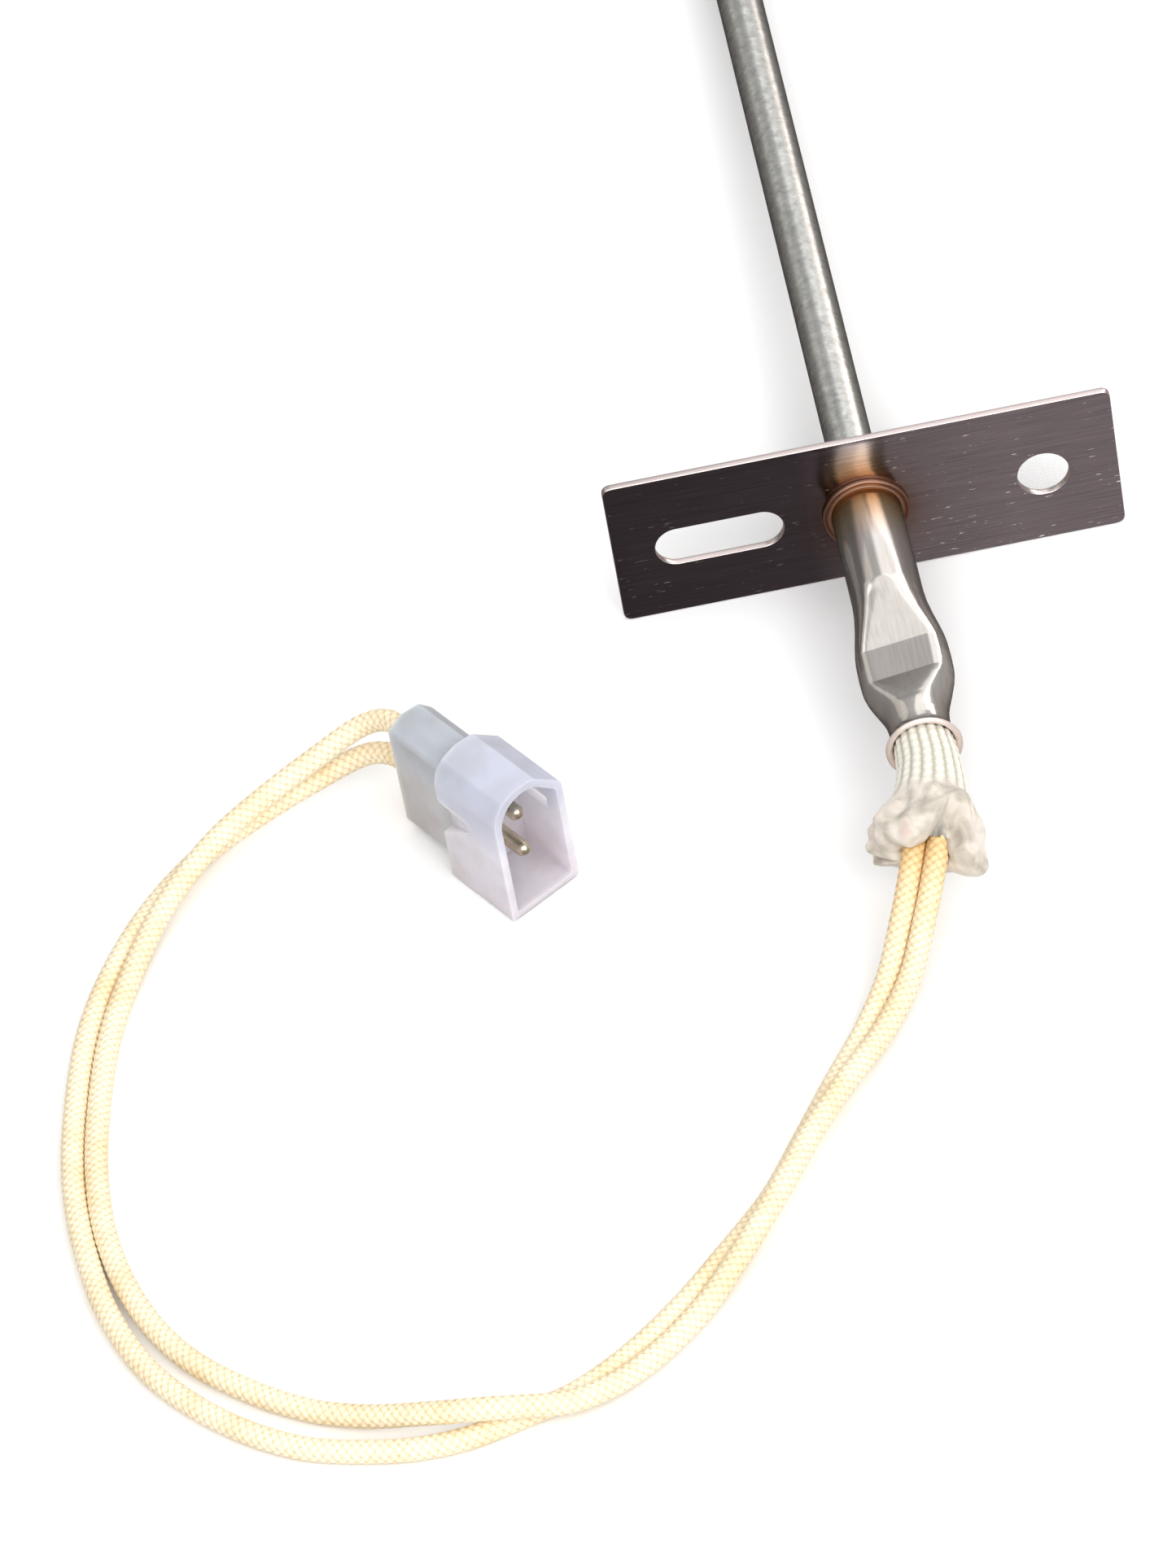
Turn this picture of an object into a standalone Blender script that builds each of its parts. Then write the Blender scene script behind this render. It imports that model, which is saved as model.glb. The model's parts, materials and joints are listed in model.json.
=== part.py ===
"""Oven temperature probe: a stainless resistance sensor on a two-hole flange, with two braided leads and a plug.

The probe lies as it does on a bench: the flange stands on its long edge, the tip of the tube rests on the
surface, and the two leads run round in a loose loop to the plug, which stands on its narrow end.
Frame: +Z up, +Y along the probe towards its tip, origin under the middle of the probe, metres.
"""

import math

import bmesh
import bpy
from mathutils import Vector

MM = 0.001
CLEARANCE = 0.3 * MM
FINE_CLEARANCE = 0.15 * MM

# The flange's mounting face stands this far behind the origin, which is under the middle of the probe.
FLANGE_Y = -52.0 * MM

TUBE_DIAMETER = 4.76 * MM
TUBE_WALL = 0.5 * MM
TUBE_TIP = 153.8 * MM
TUBE_TAIL = -6.0 * MM
TUBE_HEIGHT = 8.0 * MM

FLANGE_LENGTH = 50.8 * MM
FLANGE_HEIGHT = 17.5 * MM
FLANGE_THICKNESS = 0.8 * MM
FLANGE_CORNER = 1.0 * MM
FIXING_HEIGHT = 8.4 * MM
SCREW_HOLE_DIAMETER = 5.2 * MM
SCREW_HOLE_X = 17.9 * MM
SLOT_LENGTH = 12.9 * MM
SLOT_HEIGHT = 4.5 * MM
SLOT_X = -14.7 * MM

FERRULE_DIAMETER = 7.14 * MM
FERRULE_WALL = 0.5 * MM
FERRULE_LENGTH = 34.4 * MM
CRIMP_ROLL = math.radians(8.0)

# The two circuits run side by side at this distance from the axis, from the element to the end of the ferrule.
CIRCUIT_X = 0.8 * MM
WIRE_RADIUS = 0.3 * MM
CONDUCTOR_RADIUS = 0.5 * MM
INSULATOR_COUNT = 6

# Side, label and forward end of the two splices, which stand one behind the other inside the ferrule.
SPLICE_LENGTH = 4.6 * MM
SPLICES = ((-1, "a", -7.2 * MM), (1, "b", -13.0 * MM))

LEAD_DIAMETER = 2.15 * MM
LEAD_POINT_SPACING = 2.5 * LEAD_DIAMETER

PLUG_WIDTH = 8.5 * MM
PLUG_SHROUD = 9.0 * MM
PLUG_LENGTH = 17.5 * MM
PLUG_WALL = 0.8 * MM
PLUG_FLOOR = 7.0 * MM
PLUG_HEADING = math.radians(33.0)
PLUG_FRONT = (-38.3 * MM, -87.2 * MM, 0.0)
CONTACT_PITCH = 5.08 * MM
CONTACT_HEIGHT = 7.95 * MM
CONTACT_RADIUS = 0.8 * MM
CAVITY_RADIUS = 1.7 * MM

# The tube falls from the flange to its round tip, which rests on the surface.
TIP_DROP = math.asin((TUBE_HEIGHT - TUBE_DIAMETER / 2) / (TUBE_TIP - TUBE_DIAMETER / 2))
FLANGE_LIFT = FLANGE_THICKNESS * math.sin(TIP_DROP)

# The pair of leads from the ferrule to the plug. Each row holds x and y of the pair's middle, the space under
# its lower lead, its roll in degrees (0 is side by side, 90 is one above the other), and the distance between
# the two leads.
PAIR_ROUTE = [
    (0.0000, -0.0892, 0.00828, 0, 0.00248),
    (-0.0004, -0.0922, 0.00823, 0, 0.00248),
    (-0.0013, -0.0958, 0.00790, 0, 0.00248),
    (-0.0026, -0.0998, 0.00690, 0, 0.00252),
    (-0.0046, -0.1042, 0.00445, 2, 0.00255),
    (-0.0072, -0.1092, 0.00175, 8, 0.00255),
    (-0.0106, -0.1142, 0.00030, 22, 0.00255),
    (-0.0143, -0.1192, 0.00010, 42, 0.00255),
    (-0.0184, -0.1252, 0.00010, 58, 0.00255),
    (-0.0229, -0.1320, 0.00010, 58, 0.00255),
    (-0.0279, -0.1380, 0.00010, 34, 0.00255),
    (-0.0326, -0.1430, 0.00010, 14, 0.00255),
    (-0.0382, -0.1476, 0.00010, 14, 0.00255),
    (-0.0440, -0.1507, 0.00010, 34, 0.00255),
    (-0.0500, -0.1518, 0.00010, 76, 0.00260),
    (-0.0560, -0.1518, 0.00010, 128, 0.00285),
    (-0.0622, -0.1504, 0.00010, 168, 0.00360),
    (-0.0690, -0.1478, 0.00010, 180, 0.00430),
    (-0.0750, -0.1435, 0.00010, 180, 0.00410),
    (-0.0805, -0.1373, 0.00010, 180, 0.00350),
    (-0.0840, -0.1298, 0.00010, 180, 0.00285),
    (-0.0858, -0.1210, 0.00010, 180, 0.00255),
    (-0.0860, -0.1120, 0.00010, 180, 0.00255),
    (-0.0848, -0.1030, 0.00010, 180, 0.00255),
    (-0.0828, -0.0945, 0.00010, 178, 0.00255),
    (-0.0796, -0.0870, 0.00010, 165, 0.00255),
    (-0.0752, -0.0799, 0.00010, 142, 0.00255),
    (-0.0696, -0.0742, 0.00035, 122, 0.00260),
    (-0.0634, -0.0708, 0.00130, 106, 0.00275),
    (-0.0578, -0.0690, 0.00260, 96, 0.00320),
    (-0.0532, -0.0681, 0.00370, 92, 0.00400),
    (-0.0505, -0.0690, 0.00415, 90, 0.00480),
    (-0.0489, -0.0709, 0.00430, 90, 0.00508),
    (-0.0478, -0.0725, 0.00433, 90, 0.00508),
    (-0.0467, -0.0742, 0.00433, 90, 0.00508),
]


# --- materials -------------------------------------------------------------------------------------------

def finish(name, colour, roughness, metallic=0.0):
    """Make a Principled material of one colour."""
    material = bpy.data.materials.new(name)
    material.use_nodes = True
    shader = material.node_tree.nodes["Principled BSDF"]
    shader.inputs["Base Color"].default_value = (*colour, 1.0)
    shader.inputs["Roughness"].default_value = roughness
    shader.inputs["Metallic"].default_value = metallic
    return material


# --- mesh helpers ----------------------------------------------------------------------------------------

def mesh_object(name, shape, material):
    """Turn a bmesh into a named object, with round faces smooth and corners over 30 degrees sharp."""
    bmesh.ops.recalc_face_normals(shape, faces=shape.faces)
    mesh = bpy.data.meshes.new(name)
    shape.to_mesh(mesh)
    shape.free()
    mesh.shade_smooth()
    mesh.set_sharp_from_angle(angle=math.radians(30.0))
    if material:
        mesh.materials.append(material)
    item = bpy.data.objects.new(name, mesh)
    bpy.context.collection.objects.link(item)
    return item


def bridge(shape, first, second):
    """Join two rings of the same length with quads."""
    count = len(first)
    for i in range(count):
        j = (i + 1) % count
        shape.faces.new((first[i], first[j], second[j], second[i]))


def turned(name, profile, material, sides=32, centre=(0.0, 0.0)):
    """Turn a profile of (radius, y) points about the Y axis, moved sideways to centre (x, z).

    The outline is closed from its last point to its first, unless both lie on the axis.
    """
    shape = bmesh.new()
    rings = []
    for radius, y in profile:
        turns = sides if radius > 0.0 else 1
        angles = [2.0 * math.pi * i / sides for i in range(turns)]
        rings.append([shape.verts.new((centre[0] + radius * math.cos(a), y,
                                       centre[1] + radius * math.sin(a))) for a in angles])
    for first, second in zip(rings, rings[1:] + rings[:1]):
        if len(first) == len(second) == 1:
            continue
        if len(first) == len(second):
            bridge(shape, first, second)
            continue
        point, ring = (first[0], second) if len(first) == 1 else (second[0], first)
        for i in range(sides):
            shape.faces.new((ring[i], ring[(i + 1) % sides], point))
    return mesh_object(name, shape, material)


def rod(name, radius, y_start, y_end, x, z, material, sides=16):
    """A plain round bar along Y."""
    return turned(name, [(0.0, y_start), (radius, y_start), (radius, y_end), (0.0, y_end)],
                  material, sides, (x, z))


def sleeve(name, inner, outer, y_start, y_end, x, z, material, sides=24):
    """A plain round tube along Y."""
    return turned(name, [(inner, y_start), (outer, y_start), (outer, y_end), (inner, y_end)],
                  material, sides, (x, z))


def rounded_section(width, height, corner, arc_points=10):
    """Points (x, z) round a rectangle with round corners; a corner of half the width makes a circle."""
    points = []
    for turn, (side_x, side_z) in enumerate(((1, 1), (-1, 1), (-1, -1), (1, -1))):
        centre_x = side_x * (width / 2 - corner)
        centre_z = side_z * (height / 2 - corner)
        for i in range(arc_points + 1):
            angle = math.pi / 2 * (turn + i / arc_points)
            # A hair of flat keeps neighbouring points of a full circle apart.
            points.append((centre_x + corner * math.cos(angle) * 0.9995 + side_x * 0.00001,
                           centre_z + corner * math.sin(angle) * 0.9995 + side_z * 0.00001))
    return points


def lofted_tube(name, outer_rings, inner_rings, material):
    """Close a hollow tube from rings of points along its outside and its inside."""
    shape = bmesh.new()
    outer = [[shape.verts.new(point) for point in ring] for ring in outer_rings]
    inner = [[shape.verts.new(point) for point in ring] for ring in inner_rings]
    rings = outer + inner[::-1]
    for first, second in zip(rings, rings[1:] + rings[:1]):
        bridge(shape, first, second)
    return mesh_object(name, shape, material)


def prism(name, outline, low, high, material=None, axis="Y"):
    """Extrude a closed outline of (x, z) points along Y, or of (y, z) points along X."""
    shape = bmesh.new()
    ends = []
    for level in (low, high):
        if axis == "Y":
            ends.append([shape.verts.new((a, level, b)) for a, b in outline])
        else:
            ends.append([shape.verts.new((level, a, b)) for a, b in outline])
    shape.faces.new(ends[0])
    shape.faces.new(ends[1])
    bridge(shape, ends[0], ends[1])
    return mesh_object(name, shape, material)


def block(name, low, high, material=None):
    """A rectangular block between two corners."""
    outline = [(low[0], low[2]), (high[0], low[2]), (high[0], high[2]), (low[0], high[2])]
    return prism(name, outline, low[1], high[1], material)


def cut(item, cutter):
    """Take a cutter out of an item, and leave the cutter as a guide that isn't built."""
    cutter.hide_render = True
    cutter.display_type = "WIRE"
    modifier = item.modifiers.new("cut " + cutter.name, "BOOLEAN")
    modifier.operation = "DIFFERENCE"
    modifier.solver = "EXACT"
    modifier.object = cutter


def smooth_route(rows, spacing):
    """Read a Catmull-Rom curve through the rows about every spacing metres along it.

    Every column is smoothed, so the roll and the distance between the leads change as gently as the path.
    """
    fine = []
    steps = 24
    for i in range(len(rows) - 1):
        before = rows[max(i - 1, 0)]
        after = rows[min(i + 2, len(rows) - 1)]
        for step in range(steps):
            t = step / steps
            fine.append([0.5 * (2 * b + (c - a) * t + (2 * a - 5 * b + 4 * c - d) * t * t
                                + (3 * b - a - 3 * c + d) * t ** 3)
                         for a, b, c, d in zip(before, rows[i], rows[i + 1], after)])
    fine.append(list(rows[-1]))
    lengths = [0.0]
    for first, second in zip(fine, fine[1:]):
        lengths.append(lengths[-1] + (Vector(second[:3]) - Vector(first[:3])).length)
    count = round(lengths[-1] / spacing)
    picked = []
    k = 0
    for i in range(count + 1):
        wanted = lengths[-1] * i / count
        while k < len(fine) - 2 and lengths[k + 1] < wanted:
            k += 1
        share = (wanted - lengths[k]) / (lengths[k + 1] - lengths[k])
        picked.append([a + (b - a) * share for a, b in zip(fine[k], fine[k + 1])])
    return picked


def lead_points(side):
    """The path of one lead: the pair's middle, moved half the pair's distance to one side."""
    rows = smooth_route(PAIR_ROUTE, LEAD_POINT_SPACING)
    points = []
    for i, (x, y, space, roll, distance) in enumerate(rows):
        ahead = rows[min(i + 1, len(rows) - 1)]
        behind = rows[max(i - 1, 0)]
        along = Vector((ahead[0] - behind[0], ahead[1] - behind[1], 0.0)).normalized()
        across = Vector((-along.y, along.x, 0.0))
        lean = math.radians(roll)
        offset = across * math.cos(lean) + Vector((0.0, 0.0, math.sin(lean)))
        middle = Vector((x, y, space + LEAD_DIAMETER / 2 + distance / 2 * abs(math.sin(lean))))
        points.append(middle + offset * (side * distance / 2))
    return points


# --- the probe -------------------------------------------------------------------------------------------

def make_probe_tube(frame, finishes):
    """Drawn stainless tube: open inside the ferrule, closed by a round tip."""
    outer = TUBE_DIAMETER / 2
    inner = outer - TUBE_WALL
    steps = 8
    angles = [math.pi / 2 * i / steps for i in range(steps)]
    outside = [(outer, TUBE_TAIL)]
    outside += [(outer * math.cos(a), TUBE_TIP - outer + outer * math.sin(a)) for a in angles]
    outside.append((0.0, TUBE_TIP))
    inside = [(0.0, TUBE_TIP - TUBE_WALL)]
    inside += [(inner * math.cos(a), TUBE_TIP - outer + inner * math.sin(a)) for a in angles[::-1]]
    inside.append((inner, TUBE_TAIL))
    tube = turned("probe_tube", outside + inside, finishes["brushed steel"], 40, (0.0, TUBE_HEIGHT))
    tube.parent = frame


def make_flange(frame, finishes):
    """Flat mounting plate with a round screw hole, an adjusting slot and the hole the tube goes through."""
    outline = [(x, z + FLANGE_HEIGHT / 2)
               for x, z in rounded_section(FLANGE_LENGTH, FLANGE_HEIGHT, FLANGE_CORNER, 4)]
    plate = prism("mounting_flange", outline, 0.0, FLANGE_THICKNESS, finishes["polished steel"])
    plate.parent = frame
    past = 1.0 * MM
    low, high = -past, FLANGE_THICKNESS + past
    tube_hole = rod("tube_hole_cutter", TUBE_DIAMETER / 2 + CLEARANCE, low, high, 0.0, TUBE_HEIGHT, None, 40)
    screw_hole = rod("screw_hole_cutter", SCREW_HOLE_DIAMETER / 2, low, high, SCREW_HOLE_X, FIXING_HEIGHT,
                     None, 40)
    slot_outline = [(x + SLOT_X, z + FIXING_HEIGHT)
                    for x, z in rounded_section(SLOT_LENGTH, SLOT_HEIGHT, SLOT_HEIGHT / 2)]
    slot = prism("slot_cutter", slot_outline, low, high)
    for cutter in (tube_hole, screw_hole, slot):
        cutter.parent = frame
        cut(plate, cutter)


def make_braze_ring(frame, finishes):
    """Fillet of braze round the ferrule where it meets the flange."""
    inner = FERRULE_DIAMETER / 2 + CLEARANCE
    profile = [(inner, -CLEARANCE), (inner + 0.75 * MM, -CLEARANCE), (inner + 0.6 * MM, -0.55 * MM),
               (inner + 0.25 * MM, -0.95 * MM), (inner, -1.05 * MM)]
    ring = turned("braze_ring", profile, finishes["braze"], 40, (0.0, TUBE_HEIGHT))
    ring.parent = frame


def make_crimp_ferrule(frame, finishes):
    """Large tube brazed to the flange, pressed flat over the conductors, with a flared mouth."""
    circle = (FERRULE_DIAMETER, FERRULE_DIAMETER, FERRULE_DIAMETER / 2)
    band = (9.2 * MM, 3.75 * MM, 1.15 * MM)
    neck = (6.0 * MM, 6.0 * MM, 3.0 * MM)
    flare = (6.5 * MM, 6.5 * MM, 3.25 * MM)
    mouth = (7.2 * MM, 7.2 * MM, 3.6 * MM)
    stations = [(CLEARANCE, circle), (13.5 * MM, circle), (21.4 * MM, band), (25.5 * MM, band),
                (30.4 * MM, neck), (32.4 * MM, neck), (33.5 * MM, flare), (FERRULE_LENGTH, mouth)]
    outer = []
    inner = []
    for back, (width, height, corner) in stations:
        for rings, wall in ((outer, 0.0), (inner, FERRULE_WALL)):
            section = rounded_section(width - 2 * wall, height - 2 * wall, corner - wall)
            rings.append([(x * math.cos(CRIMP_ROLL) - z * math.sin(CRIMP_ROLL), -back,
                           TUBE_HEIGHT + x * math.sin(CRIMP_ROLL) + z * math.cos(CRIMP_ROLL))
                          for x, z in section])
    ferrule = lofted_tube("crimp_ferrule", outer, inner, finishes["polished steel"])
    ferrule.parent = frame


def make_sensing_tip(frame, finishes):
    """Thin-film element in the tip: its chip, glass drop, two legs and the cement pad in front of it.

    Returns where the extension wires end.
    """
    chip_end = TUBE_TIP - 4.2 * MM
    chip_start = chip_end - 2.3 * MM
    chip = block("element_chip", (-1.0 * MM, chip_start, TUBE_HEIGHT - 0.3 * MM),
                 (1.0 * MM, chip_end, TUBE_HEIGHT + 0.3 * MM), finishes["alumina"])
    drop = block("element_glass_drop", (-0.95 * MM, chip_start + 0.1 * MM, TUBE_HEIGHT + 0.45 * MM),
                 (0.95 * MM, chip_start + 1.0 * MM, TUBE_HEIGHT + 0.9 * MM), finishes["glass"])
    pad_radius = TUBE_DIAMETER / 2 - TUBE_WALL - CLEARANCE
    profile = [(0.0, chip_end + 0.3 * MM), (pad_radius, chip_end + 0.3 * MM),
               (pad_radius, chip_end + 1.0 * MM), (pad_radius * 0.8, chip_end + 1.8 * MM),
               (pad_radius * 0.4, chip_end + 2.3 * MM), (0.0, chip_end + 2.5 * MM)]
    pad = turned("tip_cement_pad", profile, finishes["cement"], 24, (0.0, TUBE_HEIGHT))
    for item in (chip, drop, pad):
        item.parent = frame
    leg_end = chip_start - CLEARANCE
    leg_start = leg_end - 5.0 * MM
    for side, label in ((-1, "a"), (1, "b")):
        x = side * CIRCUIT_X
        leg = rod("element_leg_" + label, 0.15 * MM, leg_start, leg_end, x, TUBE_HEIGHT, finishes["nickel"], 8)
        # The leg and its extension wire meet end to end inside this small crimp.
        crimp = sleeve("leg_crimp_" + label, WIRE_RADIUS + FINE_CLEARANCE, WIRE_RADIUS + 0.3 * MM,
                       leg_start - 1.8 * MM, leg_start + 1.2 * MM, x, TUBE_HEIGHT, finishes["nickel"], 16)
        leg.parent = frame
        crimp.parent = frame
    return leg_start - CLEARANCE


def make_wire_run(frame, finishes, wire_end):
    """Two bare extension wires down the tube, held apart by two-bore insulators and a cement plug."""
    for side, label, barrel_end in SPLICES:
        wire = rod("extension_wire_" + label, WIRE_RADIUS, barrel_end - SPLICE_LENGTH / 2 + FINE_CLEARANCE,
                   wire_end, side * CIRCUIT_X, TUBE_HEIGHT, finishes["nickel"], 12)
        wire.parent = frame
    plug_start = TUBE_TAIL + 0.2 * MM
    plug_end = plug_start + 2.7 * MM
    spans = [("tail_seal", plug_start, plug_end, finishes["cement"])]
    first = plug_end + CLEARANCE
    pitch = (wire_end - 2.4 * MM - first) / INSULATOR_COUNT
    for i in range(INSULATOR_COUNT):
        start = first + i * pitch
        spans.append((f"bore_insulator_{i + 1}", start, start + pitch - CLEARANCE, finishes["alumina"]))
    radius = TUBE_DIAMETER / 2 - TUBE_WALL - CLEARANCE
    for name, start, end, material in spans:
        piece = rod(name, radius, start, end, 0.0, TUBE_HEIGHT, material, 24)
        piece.parent = frame
        for side, label in ((-1, "a"), (1, "b")):
            bore = rod(f"{name}_bore_{label}_cutter", WIRE_RADIUS + FINE_CLEARANCE, start - MM, end + MM,
                       side * CIRCUIT_X, TUBE_HEIGHT, None, 12)
            bore.parent = frame
            cut(piece, bore)


def make_splices(frame, finishes):
    """Crimp barrels, one behind the other, that join the wires to the lead conductors, in glass sleeves."""
    conductor_tail = -36.4 * MM
    for side, label, barrel_end in SPLICES:
        x = side * CIRCUIT_X
        barrel_start = barrel_end - SPLICE_LENGTH
        middle = barrel_end - SPLICE_LENGTH / 2
        barrel = sleeve("splice_barrel_" + label, 0.42 * MM, 0.64 * MM, barrel_start, barrel_end, x,
                        TUBE_HEIGHT, finishes["nickel"], 20)
        cover = sleeve("splice_cover_" + label, 0.76 * MM, 0.94 * MM, barrel_start - 0.2 * MM,
                       barrel_end + 0.4 * MM, x, TUBE_HEIGHT, finishes["glass cloth"], 20)
        stripped = middle - FINE_CLEARANCE
        shoulder = barrel_start - CLEARANCE
        profile = [(0.0, conductor_tail), (CONDUCTOR_RADIUS, conductor_tail), (CONDUCTOR_RADIUS, shoulder),
                   (WIRE_RADIUS, shoulder), (WIRE_RADIUS, stripped), (0.0, stripped)]
        conductor = turned("inner_conductor_" + label, profile, finishes["insulation"], 16,
                           (x, TUBE_HEIGHT))
        for item in (barrel, cover, conductor):
            item.parent = frame


# --- the leads and the plug ------------------------------------------------------------------------------

def ferrule_axis_point(back):
    """A point on the ferrule's axis, this far behind the flange, in world coordinates."""
    return Vector((0.0,
                   FLANGE_Y - back * math.cos(TIP_DROP) + TUBE_HEIGHT * math.sin(TIP_DROP),
                   FLANGE_LIFT + back * math.sin(TIP_DROP) + TUBE_HEIGHT * math.cos(TIP_DROP)))


def make_glass_sleeve(finishes):
    """Braided glass sleeve: pressed flat in the crimp, round beyond it, and bunched out at its free end."""
    stations = []
    for back, outer, inner in (
            (20.8, (5.4, 2.15, 1.0), (4.5, 1.6, 0.75)),
            (25.8, (5.4, 2.15, 1.0), (4.5, 1.6, 0.75)),
            (30.5, (4.3, 4.3, 2.15), (3.3, 3.3, 1.65)),
            (32.6, (4.3, 4.3, 2.15), (3.3, 3.3, 1.65)),
            (34.4, (5.2, 5.2, 2.6), (4.2, 4.2, 2.1)),
            (35.4, (6.4, 6.4, 3.2), (5.3, 5.3, 2.65))):
        stations.append((ferrule_axis_point(back * MM), outer, inner))
    middle = smooth_route(PAIR_ROUTE[:4], 1.1 * MM)
    reach = len(middle) - 1
    for i, (x, y, space, _, _) in enumerate(middle):
        bunch = (i / reach) ** 3
        outer = 6.5 + 4.4 * bunch
        inner = 5.35 + 2.4 * bunch
        stations.append((Vector((x, y, space + LEAD_DIAMETER / 2)),
                         (outer, outer, outer / 2), (inner, inner, inner / 2)))
    rings = ([], [])
    for i, (centre, *sizes) in enumerate(stations):
        ahead = stations[min(i + 1, len(stations) - 1)][0]
        behind = stations[max(i - 1, 0)][0]
        along = (ahead - behind).normalized()
        right = along.cross(Vector((0.0, 0.0, 1.0))).normalized()
        up = right.cross(along)
        for ring, (width, height, corner) in zip(rings, sizes):
            section = rounded_section(width * MM, height * MM, corner * MM, 7)
            ring.append([centre + right * x + up * z for x, z in section])
    lofted_tube("glass_sleeve", rings[0], rings[1], finishes["glass cloth"])


def make_leads(finishes):
    """The two braided leads, from inside the glass sleeve to inside the plug."""
    for side, label in ((-1, "a"), (1, "b")):
        points = lead_points(side)
        curve = bpy.data.curves.new("lead_" + label, "CURVE")
        curve.dimensions = "3D"
        curve.bevel_depth = LEAD_DIAMETER / 2
        curve.bevel_resolution = 2
        curve.use_fill_caps = True
        spline = curve.splines.new("POLY")
        spline.points.add(len(points) - 1)
        for point, place in zip(spline.points, points):
            point.co = (*place, 1.0)
        curve.materials.append(finishes["lead braid"])
        lead = bpy.data.objects.new("lead_" + label, curve)
        bpy.context.collection.objects.link(lead)


def make_plug(finishes):
    """Two-way plug: a housing with a keyed shroud and, in each cavity, a contact crimped to its lead."""
    frame = bpy.data.objects.new("plug_frame", None)
    bpy.context.collection.objects.link(frame)
    frame.location = PLUG_FRONT
    frame.rotation_euler = (0.0, 0.0, PLUG_HEADING)
    half = PLUG_WIDTH / 2

    def keyed_outline(inset):
        """Flat-bottomed shroud outline whose top is an off-centre arch."""
        arch = [(half, 13.2), (1.0, 16.0), (-1.2, 16.1), (-2.9, 15.5), (-3.9, 14.3)]
        side = half - inset
        points = [(-side, inset), (side, inset), (side, 13.2 * MM - inset * 0.6)]
        points += [(x * MM * side / half, z * MM - inset * 1.05) for x, z in arch[1:]]
        points.append((-side, 13.0 * MM - inset * 0.4))
        return points

    housing = prism("plug_housing", keyed_outline(0.0), 0.0, PLUG_SHROUD, finishes["nylon"])
    body_side = 2.8 * MM
    body_outline = [(-body_side, 0.9 * MM), (body_side, 0.9 * MM), (body_side, 12.4 * MM),
                    (1.2 * MM, 14.2 * MM), (-1.0 * MM, 14.4 * MM), (-body_side, 13.4 * MM)]
    body = prism("plug_body_guide", body_outline, PLUG_SHROUD - MM, PLUG_LENGTH)
    union = housing.modifiers.new("rear body", "BOOLEAN")
    union.operation = "UNION"
    union.solver = "EXACT"
    union.object = body
    mouth = prism("plug_mouth_cutter", keyed_outline(PLUG_WALL), -MM, PLUG_FLOOR)
    window = block("latch_window_cutter", (half - 1.5 * MM, 3.0 * MM, 7.5 * MM),
                   (half + MM, 6.6 * MM, 9.1 * MM))
    ramp = prism("latch_ramp_cutter", [(3.0 * MM, 10.3 * MM), (PLUG_SHROUD + MM, 6.2 * MM),
                                       (PLUG_SHROUD + MM, 10.9 * MM), (3.0 * MM, 10.9 * MM)],
                 -half - MM, -half + 0.45 * MM, axis="X")
    cutters = [mouth, window, ramp]
    for label, up in (("a", -1), ("b", 1)):
        height = CONTACT_HEIGHT + up * CONTACT_PITCH / 2
        cutters.append(rod(f"pin_hole_{label}_cutter", CONTACT_RADIUS + CLEARANCE, PLUG_FLOOR - MM,
                           PLUG_FLOOR + 2.0 * MM, 0.0, height, None, 20))
        cutters.append(rod(f"cavity_{label}_cutter", CAVITY_RADIUS, PLUG_FLOOR + 1.2 * MM,
                           PLUG_LENGTH + MM, 0.0, height, None, 24))
        make_contact(frame, finishes, label, height)
    body.hide_render = True
    body.display_type = "WIRE"
    body.parent = frame
    for cutter in cutters:
        cutter.parent = frame
        cut(housing, cutter)
    housing.parent = frame


def make_contact(frame, finishes, label, height):
    """Round-nosed pin with a crimp barrel behind it, and the stripped strands of the lead in the barrel."""
    nose = 1.6 * MM
    shoulder = PLUG_FLOOR + 1.6 * MM
    barrel = shoulder + 3.0 * MM
    tail = PLUG_LENGTH - 2.6 * MM
    profile = [(0.0, nose), (CONTACT_RADIUS * 0.5, nose + 0.12 * MM), (CONTACT_RADIUS * 0.87, nose + 0.45 * MM),
               (CONTACT_RADIUS, nose + 0.95 * MM), (CONTACT_RADIUS, shoulder), (1.3 * MM, shoulder),
               (1.3 * MM, shoulder + 1.4 * MM), (0.95 * MM, shoulder + 1.7 * MM), (0.95 * MM, tail),
               (0.65 * MM, tail), (0.65 * MM, barrel), (0.0, barrel)]
    contact = turned("contact_pin_" + label, profile, finishes["tin"], 24, (0.0, height))
    strands = rod("stripped_strands_" + label, 0.45 * MM, barrel + CLEARANCE, tail + 0.3 * MM, 0.0, height,
                  finishes["nickel"], 12)
    contact.parent = frame
    strands.parent = frame


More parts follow.
